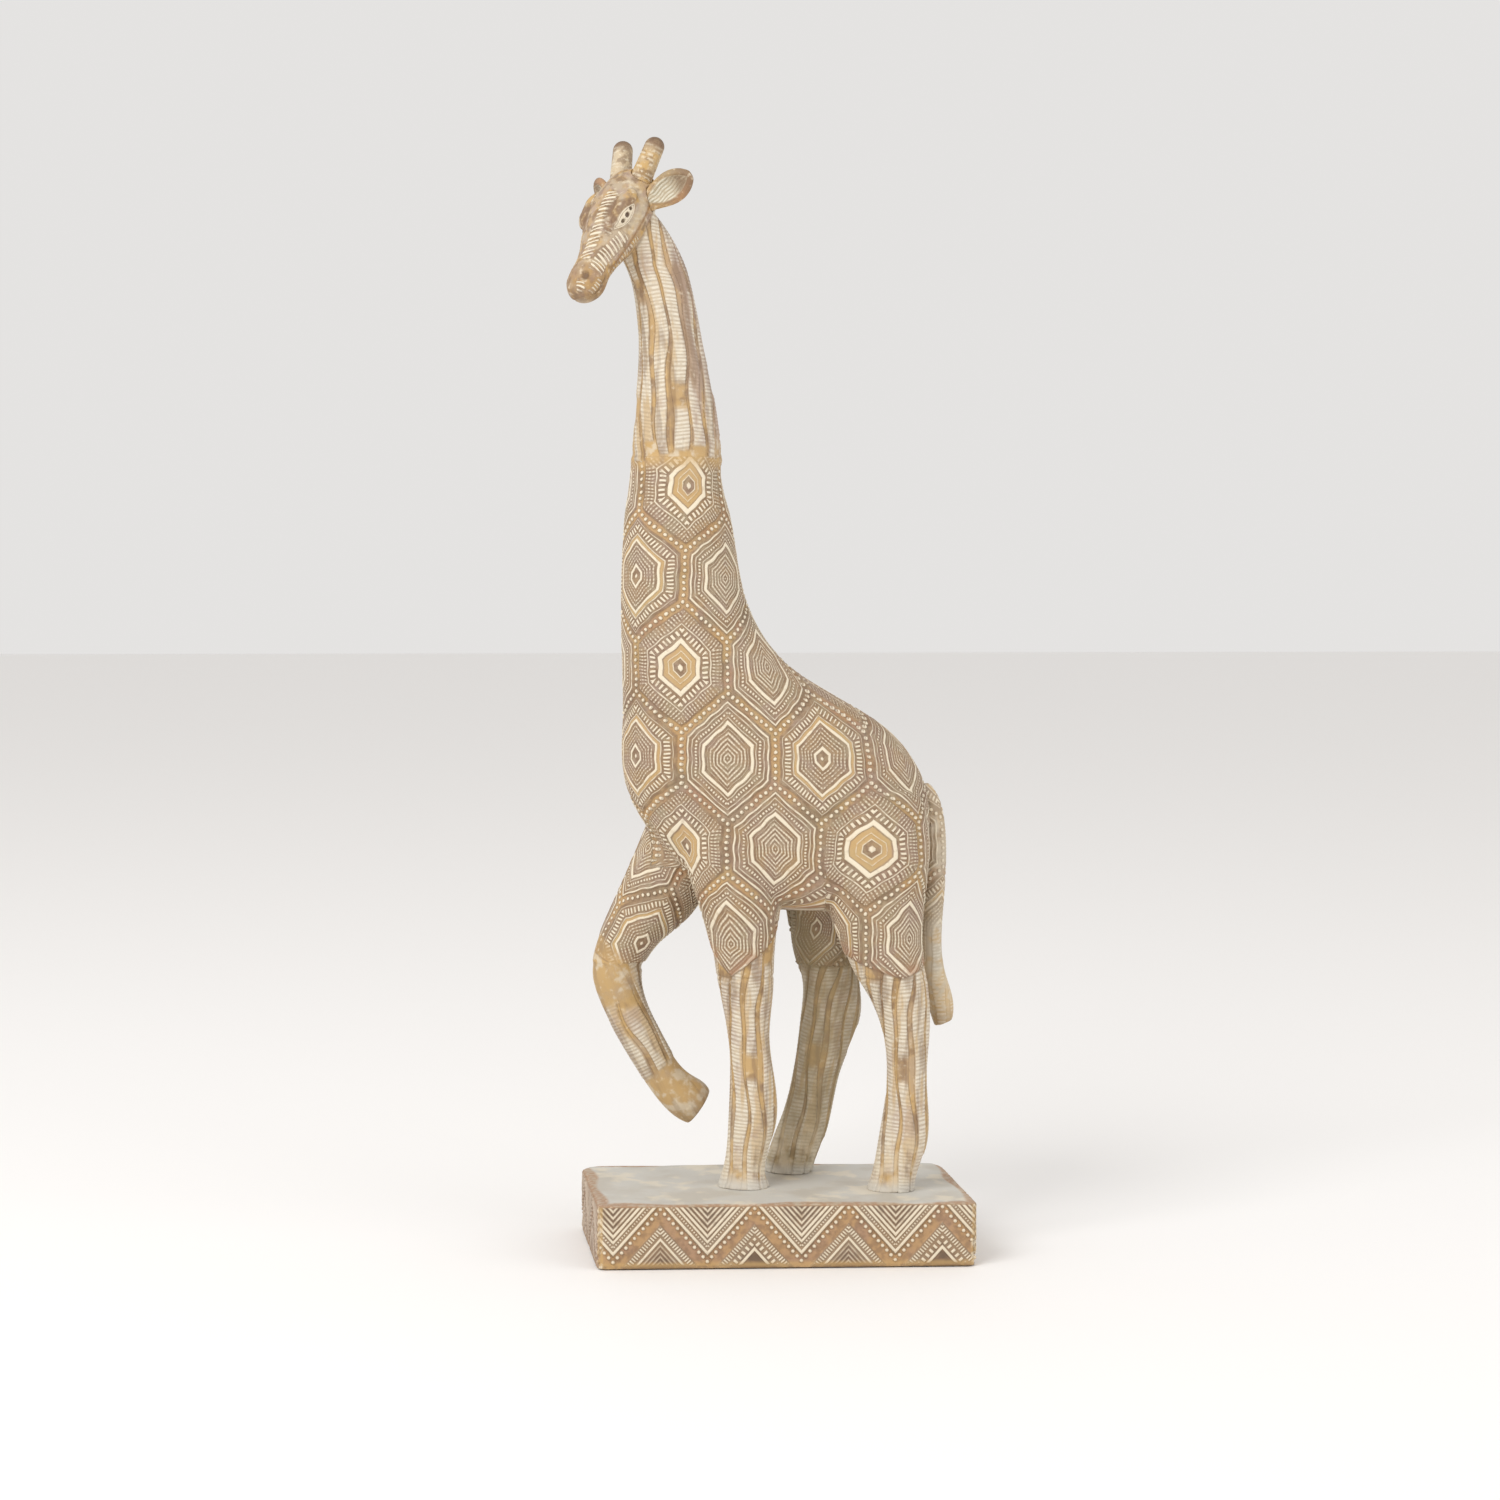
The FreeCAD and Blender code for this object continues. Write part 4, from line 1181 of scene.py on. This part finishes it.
def plinth_paint():
    """Chevrons round the sides, grey-white plaster on top and a rubbed brown rim."""
    paint = Paint("plinth_resin_paint").base(TAN)
    run, height, upright, weathered = paint.fields("run", "height", "upright", "weathered")
    corner, top, rim = paint.fields("corner", "top", "rim")
    blots, specks, fine = paint.noises((9, 3, 31.0), (1.8, 4, 32.0), (0.45, 2, 33.0))
    ridges, grooves, hollows = chevrons(run, height)
    paint.layer(WASH, ease(blots, 0.45, 0.6) * 0.35)
    paint.layer(RUST, grooves * 0.65)
    paint.layer(OCHRE, grooves * ease(blots, 0.62, 0.45) * 0.35)
    paint.layer(BROWN, grooves * ease(specks, 0.40, 0.62) * 0.55)
    paint.layer(BROWN, hollows * (ease(specks, 0.3, 0.6) * 0.3 + 0.65))
    paint.layer(DARK, hollows * hollows * ease(specks, 0.70, 0.40) * 0.75)
    paint.layer(CREAM, rubbed_tops(ridges, specks) * 0.9)
    paint.layer(OCHRE, ease(height, 2.6, 1.2) * 0.6)
    paint.layer(BROWN, ease(height, 1.4, 0.5) * ease(specks, 0.3, 0.6) * 0.6)
    # Painted shade: the plinth's left end face is darkened with mauve and brown.
    paint.layer(MAUVE, weathered * 0.5)
    paint.layer(BROWN, weathered * ease(specks, 0.35, 0.6) * 0.35)
    paint.layer(OCHRE, corner * 0.6)
    paint.layer(CREAM, corner * ease(specks, 0.45, 0.65) * 0.7)
    paint.layer(PLASTER, top)
    paint.layer(WASH, top * ease(paint.noise(16, 4, 34.0), 0.42, 0.60) * 0.55)
    paint.layer(CREAM, top * ease(paint.noise(7, 4, 35.0), 0.50, 0.66) * 0.5)
    paint.layer(TAN, rim * 0.65)
    paint.layer(RUST, rim * ease(specks, 0.35, 0.6) * 0.7)
    paint.layer(CREAM, rim * ease(specks, 0.6, 0.7) * 0.5)
    return paint.finish((ridges - grooves) * upright + fine * 0.2 + specks * 0.15)


def plain_material(name, colour, roughness, metallic=0.0):
    """A bare material with a little mottling in its colour."""
    paint = Paint(name).base(colour)
    darker = tuple(channel * 0.7 for channel in colour)
    paint.layer(darker, ease(paint.noise(1.5, 4, 21.0), 0.4, 0.65) * 0.5)
    material = paint.finish(paint.noise(0.35, 3, 22.0))
    paint.tree.links.remove(paint.shader.inputs["Roughness"].links[0])
    paint.shader.inputs["Roughness"].default_value = roughness
    paint.shader.inputs["Metallic"].default_value = metallic
    return material


# ---------------------------------------------------------------- building the pieces

# Lengths in millimetres. A relief stands out of the skin and a depth goes into it.
VOXEL = 0.3
FINE_VOXEL = 0.22
CELL_RELIEF = 0.24
GROOVE_DEPTH = 0.32
LANE_RELIEF = 0.26
STROKE_RELIEF = 0.07
CREASE_DEPTH = 0.22
SKIN_STEP = 0.45
NECK_FULLER = 0.85
NECK_SLIMMER = 0.5
GLUE_GAP = 0.14
EAR_FACES_AHEAD = 0.8
EAR_FACES_UP = 0.6
LEAF_MIDDLE = 7.2
LEAF_HALF_LENGTH = 7.0
LEAF_HALF_WIDTH = 3.1
TAIL_CELLS_END = 92
TAIL_CELLS_FADE = 6
TAIL_CELLS_ACROSS = 60
TAIL_TUFT_TOP = 80
TAIL_SHARE_OF_BARK_RELIEF = 0.2
TAIL_SHARE_OF_CELL_RELIEF = 0.5
FACE_RELIEF = 0.22
FACE_CREASE_DEPTH = 0.15
FACE_DEPTH = 0.7
CHEVRON_RELIEF = 0.28
CHEVRON_GROOVE_DEPTH = 0.3
RIM_WEAR = 0.15
CUTTER_REACH = 100
CUTTER_MARGIN = 2
NECK_TOP_SLANT = 4.5
# Painted shade for the lower legs in shadow: all of the far hind leg and a little of the raised foreleg.
LEG_PAINTED_SHADE = {"hindleg_right_lower": 1.0, "foreleg_right_lower": 0.15}
SLOTS = {entry["node"]: entry["material_slot"] for entry in frame["record"]["subparts"]}
LOWER_LEGS = ("foreleg_left_lower", "foreleg_right_lower", "hindleg_left_lower", "hindleg_right_lower")
BODY_CASTINGS = ("body_casting", "upper_neck", "head", *LOWER_LEGS)
BODY_RODS = ("foreleg_left_rod", "hindleg_left_rod", "hindleg_right_rod", "foreleg_right_pin",
             "neck_pin", "head_pin")


def stand_for(item, node, material):
    """Let a finished piece take a CAD node's place."""
    item.name = f"{node}_visual"
    item.data.name = item.name
    item.data.materials.clear()
    item.data.materials.append(material)
    item.data.shade_smooth()
    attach(item, "root")
    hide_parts(node)
    return item


def plain_casting():
    """Body, neck, head and legs as one surface, relaxed where the limbs run into the body."""
    item = joined("casting", [welded_copy(node) for node in BODY_CASTINGS + BODY_RODS])
    remeshed(item, VOXEL)
    height = points_of(item)[:, 2]
    head_low = bottom_of("head")
    weights = between(0.15, 1, ease(height, KNEE_TOP - 3, KNEE_TOP + 5))
    weights = between(weights, 0.3, ease(height, SKIN_TOP + 6, SKIN_TOP + 16))
    weights = between(weights, 0.12, ease(height, head_low, head_low + 8))
    return smoothed(item, weights, 50)


def bark_relief(across, along):
    """Height of the bark lanes, their strokes and creases."""
    lane, strokes, creases = bark(across, along)
    return lane * LANE_RELIEF + strokes * STROKE_RELIEF - creases * CREASE_DEPTH


def cell_relief(across, up):
    """Height of the cells' ridges and of the grooves between the cells."""
    ridges, grooves, _, _ = hexagon_skin(across, up)
    return ridges * CELL_RELIEF - grooves * GROOVE_DEPTH


def casting_relief(points, casting):
    """Heights of the relief over the body, neck and legs; the neck is fuller above the cells."""
    across, up, bark_across, along, skin = casting.coordinates(points)
    height = points[:, 2]
    on_leg = ease(height, KNEE_TOP + 40, KNEE_TOP + 30) * ease(height, KNEE_TOP - 1, KNEE_TOP)
    lanes = bark_relief(bark_across, along) - SKIN_STEP * on_leg
    skin_share = ease(skin, -0.25, 0.25) * ease(height, SKIN_TOP + 1, SKIN_TOP - 1)
    fuller = ease(height, SKIN_TOP - 3, SKIN_TOP + 4) * ease(height, SKIN_TOP + 35, SKIN_TOP + 13)
    slimmer = ease(height, SKIN_TOP - 17, SKIN_TOP - 9) * ease(height, SKIN_TOP, SKIN_TOP - 6)
    taper = fuller * NECK_FULLER - slimmer * NECK_SLIMMER
    relief = between(lanes, cell_relief(across, up), skin_share)
    return relief * (1 - bare_places(points, casting, bark_across, along)) + taper


def head_relief(points):
    """Heights of the relief over the face."""
    strokes, creases, _, _, _, deep = face(*head_coordinates(points))
    return strokes * FACE_RELIEF - creases * FACE_CREASE_DEPTH - deep * FACE_DEPTH


def neck_top_plane():
    """Middle and normal of the slanted face that closes the neck's upper end."""
    mesh = nodes["upper_neck"].data
    lowest = top_of("upper_neck") - NECK_TOP_SLANT
    faces = [f for f in mesh.polygons if f.normal.z > 0.9 and f.center.z / MM > lowest]
    area = sum(f.area for f in faces)
    middle = sum((f.center * f.area for f in faces), Vector()) / area
    return middle, faces[0].normal.copy()


def slab(low, high):
    """A block between two heights that is wider than the object, used only to cut with."""
    return block((-CUTTER_REACH, -CUTTER_REACH, low), (CUTTER_REACH, CUTTER_REACH, high))


def above_plane(middle, normal):
    """A large block that fills one side of a plane, used only to cut with."""
    item = slab(0, CUTTER_REACH)
    item.matrix_world = Vector((0, 0, 1)).rotation_difference(normal).to_matrix().to_4x4()
    item.location = middle
    bpy.context.view_layer.update()
    return item


def holes():
    """Every rod of the body, grown by the glue gap, as one tool to drill with."""
    item = joined("holes", [welded_copy(node) for node in BODY_RODS])
    return raised(item, GLUE_GAP)


def split(item):
    """Cut the whole casting at the joints of the real one and drill it for the rods."""
    parts = {}
    tools = []
    for node in LOWER_LEGS:
        low, high = node_box(node)
        below = CUTTER_MARGIN if node == "foreleg_right_lower" else 0
        low = low - (CUTTER_MARGIN, CUTTER_MARGIN, below)
        high = high + (CUTTER_MARGIN, CUTTER_MARGIN, 0)
        tools.append(block(low, high))
        parts[node] = cut_with(node, item, tools[-1], "INTERSECT")
    raised_tool = tools[LOWER_LEGS.index("foreleg_right_lower")]
    tools.append(slab(KNEE_TOP, SKIN_TOP))
    trunk = cut_with("trunk", item, tools[-1], "INTERSECT")
    parts["body_casting"] = cut_with("body_casting", trunk, raised_tool, "DIFFERENCE")
    tools.append(slab(SKIN_TOP, top_of("head") + 20))
    crown = cut_with("crown", item, tools[-1], "INTERSECT")
    tools.append(above_plane(*neck_top_plane()))
    parts["head"] = cut_with("head", crown, tools[-1], "INTERSECT")
    parts["upper_neck"] = cut_with("upper_neck", crown, tools[-1], "DIFFERENCE")
    tools.append(holes())
    for node, part in parts.items():
        parts[node] = cut_with(node, part, tools[-1], "DIFFERENCE")
        bpy.data.objects.remove(part)
    for tool in tools + [trunk, crown, item]:
        bpy.data.objects.remove(tool)
    return parts


def make_giraffe(bark_material):
    """Body, neck, head and legs, in relief and painted."""
    item = plain_casting()
    points = points_of(item)
    casting = Casting(points)
    _, brow, ahead = head_coordinates(points)
    relief = between(head_relief(points), casting_relief(points, casting), nape(brow, ahead))
    raised(item, relief)
    materials = {"body_casting": body_paint(), "head": head_paint()}
    for node, part in split(item).items():
        points = points_of(part)
        across, up, bark_across, along, skin = casting.coordinates(points)
        bare = bare_places(points, casting, bark_across, along)
        store(part, bark_across=bark_across, bark_along=along, bare=bare)
        if node == "head":
            left, brow, ahead = head_coordinates(points)
            store(part, head_left=left, head_brow=brow, head_ahead=ahead)
        elif node == "body_casting":
            x, y, z = points.T
            # Painted shade: a share of olive darkening on the far hind thigh, which stands in shadow.
            lee = ease(x, 0, 6) * ease(y, 3, 8) * ease(z, KNEE_TOP + 28, KNEE_TOP + 18)
            store(part, across=across, up=up, skin=skin, lee=lee)
        else:
            # Painted shade is stored for the lower legs that stand in shadow.
            store(part, foot=points[:, 2] - PLINTH_TOP, patina=LEG_PAINTED_SHADE.get(node, 0.0))
        stand_for(part, node, materials.get(node, bark_material))


def make_tail():
    """The tail: cells where it leaves the rump, smoother than the legs below, and a tuft."""
    item = remeshed(welded_copy("tail"), FINE_VOXEL)
    smoothed(item, 0.7, 60)
    points = points_of(item)
    low, high = node_box("tail")
    middle = (low[1] + high[1]) / 2
    belts = Belts(points, ([low[2], high[2]], [middle, middle]), low[2], high[2])
    height = points[:, 2]
    across = belts.wrap(points) - belts.girth(height)[0]
    strokes = bark_relief(across, height) * TAIL_SHARE_OF_BARK_RELIEF
    cells = cell_relief(across + TAIL_CELLS_ACROSS, height) * TAIL_SHARE_OF_CELL_RELIEF
    raised(item, between(strokes, cells, at_tail_root(height)))
    store(item, bark_across=across, bark_along=height, across=across + TAIL_CELLS_ACROSS, up=height)
    stand_for(item, "tail", tail_paint())


def make_ears_and_ossicones():
    """Ears with a pale leaf inside a brown rim, and ossicones with rows of dashes."""
    for kind, material in (("ear", ear_paint()), ("ossicone", ossicone_paint())):
        for side in ("left", "right"):
            node = f"{kind}_{side}"
            item = remeshed(welded_copy(node), FINE_VOXEL)
            smoothed(item, 0.3, 12)
            store_own_axes(item, node)
            # Painted shade goes on the far (right) ossicone only.
            store(item, lee=float(side == "right"))
            stand_for(item, node, material)


def store_own_axes(item, node):
    """Keep how far a point is out along its pin, across from it, and how far it faces ahead."""
    pin = points_of(nodes[f"{node}_pin"])
    middle = pin.mean(axis=0)
    away = np.linalg.norm(pin - POLL, axis=1)
    beyond = away > np.median(away)
    axis = pin[beyond].mean(axis=0) - pin[~beyond].mean(axis=0)
    axis = axis / np.linalg.norm(axis)
    front = HEAD_AHEAD * EAR_FACES_AHEAD + HEAD_BROW * EAR_FACES_UP
    front = front - (front @ axis) * axis
    front = front / np.linalg.norm(front)
    offset = points_of(item) - middle
    store(item, out=offset @ axis, across=offset @ np.cross(axis, front), facing=normals_of(item) @ front)


def make_plinth():
    """The plinth with chevrons round its sides and grey-white plaster on its top."""
    item = remeshed(welded_copy("plinth"), VOXEL)
    smoothed(item, 0.15, 10)
    x, y, z = points_of(item).T
    normals = normals_of(item)
    low, high = node_box("plinth")
    on_end = np.abs(normals[:, 0]) > np.abs(normals[:, 1])
    run = np.where(on_end, y + CHEVRON_PERIOD / 2, x + FIRST_PEAK)
    outer = np.minimum.reduce([x - low[0], high[0] - x, y - low[1], high[1] - y])
    level = np.hypot(normals[:, 0], normals[:, 1])
    squareness = np.maximum(np.abs(normals[:, 0]), np.abs(normals[:, 1])) / np.maximum(level, 0.01)
    on_side = ease(outer, 3, 2)
    upright = ease(level, 0.6, 0.85) * on_side
    corner = ease(squareness, 0.97, 0.85) * ease(level, 0.4, 0.7) * on_side
    near_top = ease(z, PLINTH_TOP - 3, PLINTH_TOP - 2)
    top = ease(normals[:, 2], 0.5, 0.8) * near_top
    wobble = 2.0 + 1.0 * np.sin(x / 8.3 + 0.5) + 0.7 * np.sin(x / 3.7 + y / 5.1)
    rim = ease(outer, wobble + 0.6, wobble - 0.6) * ease(normals[:, 2], 0.2, 0.5) * near_top
    ridges, grooves, _ = chevrons(run, z)
    uneven = np.sin(x / 6.1) * np.sin(y / 4.3 + x / 15) * 0.12 - 0.1
    relief = ridges * CHEVRON_RELIEF - grooves * CHEVRON_GROOVE_DEPTH
    raised(item, relief * upright + top * uneven - rim * RIM_WEAR)
    # Painted shade on the upright left end face of the plinth, towards -X.
    weathered = on_end * ease(x, 0, -1) * upright
    store(item, run=run, height=z, upright=upright, corner=corner, top=top, rim=rim, weathered=weathered)
    stand_for(item, "plinth", plinth_paint())


def paint_inner_nodes():
    """Steel for the rods and pins, and dark cloth for the felt."""
    steel = plain_material("steel_paint", STEEL, 0.35, metallic=1.0)
    felt = plain_material("felt_paint", FELT, 0.9)
    for node, slot in SLOTS.items():
        if slot in ("steel", "felt"):
            nodes[node].data.materials.clear()
            nodes[node].data.materials.append(steel if slot == "steel" else felt)


# ---------------------------------------------------------------- stage, light and camera

FLOOR_COLOUR = (0.92, 0.905, 0.89, 1)
FLOOR_HALF_SIZE = 4
FLOOR_BELOW = 0.0001
CAMERA = (-127, -870.5, 205)
CAMERA_TURN = 2.6
CAMERA_DIP = 3.63
CAMERA_SHIFT = (0.1897, -0.02)
LENS = 74.97


def make_stage():
    """A plain pale floor."""
    builder = bmesh.new()
    bmesh.ops.create_grid(builder, x_segments=8, y_segments=8, size=FLOOR_HALF_SIZE)
    floor = built("floor", builder)
    floor.location.z = -FLOOR_BELOW
    material = bpy.data.materials.new("floor_paint")
    material.use_nodes = True
    shader = material.node_tree.nodes["Principled BSDF"]
    shader.inputs["Base Color"].default_value = FLOOR_COLOUR
    shader.inputs["Roughness"].default_value = 0.8
    floor.data.materials.append(material)


def area_light(name, place, target, size, power):
    """A square soft light that points at a target; lengths in metres."""
    light = bpy.data.lights.new(name, "AREA")
    light.size = size
    light.energy = power
    item = link(bpy.data.objects.new(name, light))
    item.location = place
    item.rotation_euler = (Vector(target) - Vector(place)).to_track_quat("-Z", "Y").to_euler()


def make_light():
    """Soft studio light from the upper left, with a weak fill from the right."""
    world = bpy.data.worlds.new("studio")
    world.use_nodes = True
    background = world.node_tree.nodes["Background"]
    background.inputs["Color"].default_value = (1.0, 0.985, 0.97, 1)
    background.inputs["Strength"].default_value = 0.78
    bpy.context.scene.world = world
    bpy.context.scene.view_settings.view_transform = "Standard"
    middle = (cad_bounds[0] + cad_bounds[1]) / 2
    area_light("key", (-0.9, -0.9, 1.1), middle, 0.8, 13)
    area_light("fill", (1.0, -0.7, 0.5), middle, 0.9, 3)


def make_camera():
    """A long lens at a little distance; its shift puts the object off the middle."""
    camera = bpy.data.cameras.new("camera")
    camera.lens = LENS
    camera.sensor_width = 36
    camera.shift_x, camera.shift_y = CAMERA_SHIFT
    item = link(bpy.data.objects.new("camera", camera))
    item.location = Vector(CAMERA) * MM
    item.rotation_euler = (math.radians(90 - CAMERA_DIP), 0, -math.radians(CAMERA_TURN))
    bpy.context.scene.camera = item


make_camera()
make_stage()
make_light()
bark_material = bark_paint()
make_giraffe(bark_material)
make_tail()
make_ears_and_ossicones()
make_plinth()
paint_inner_nodes()
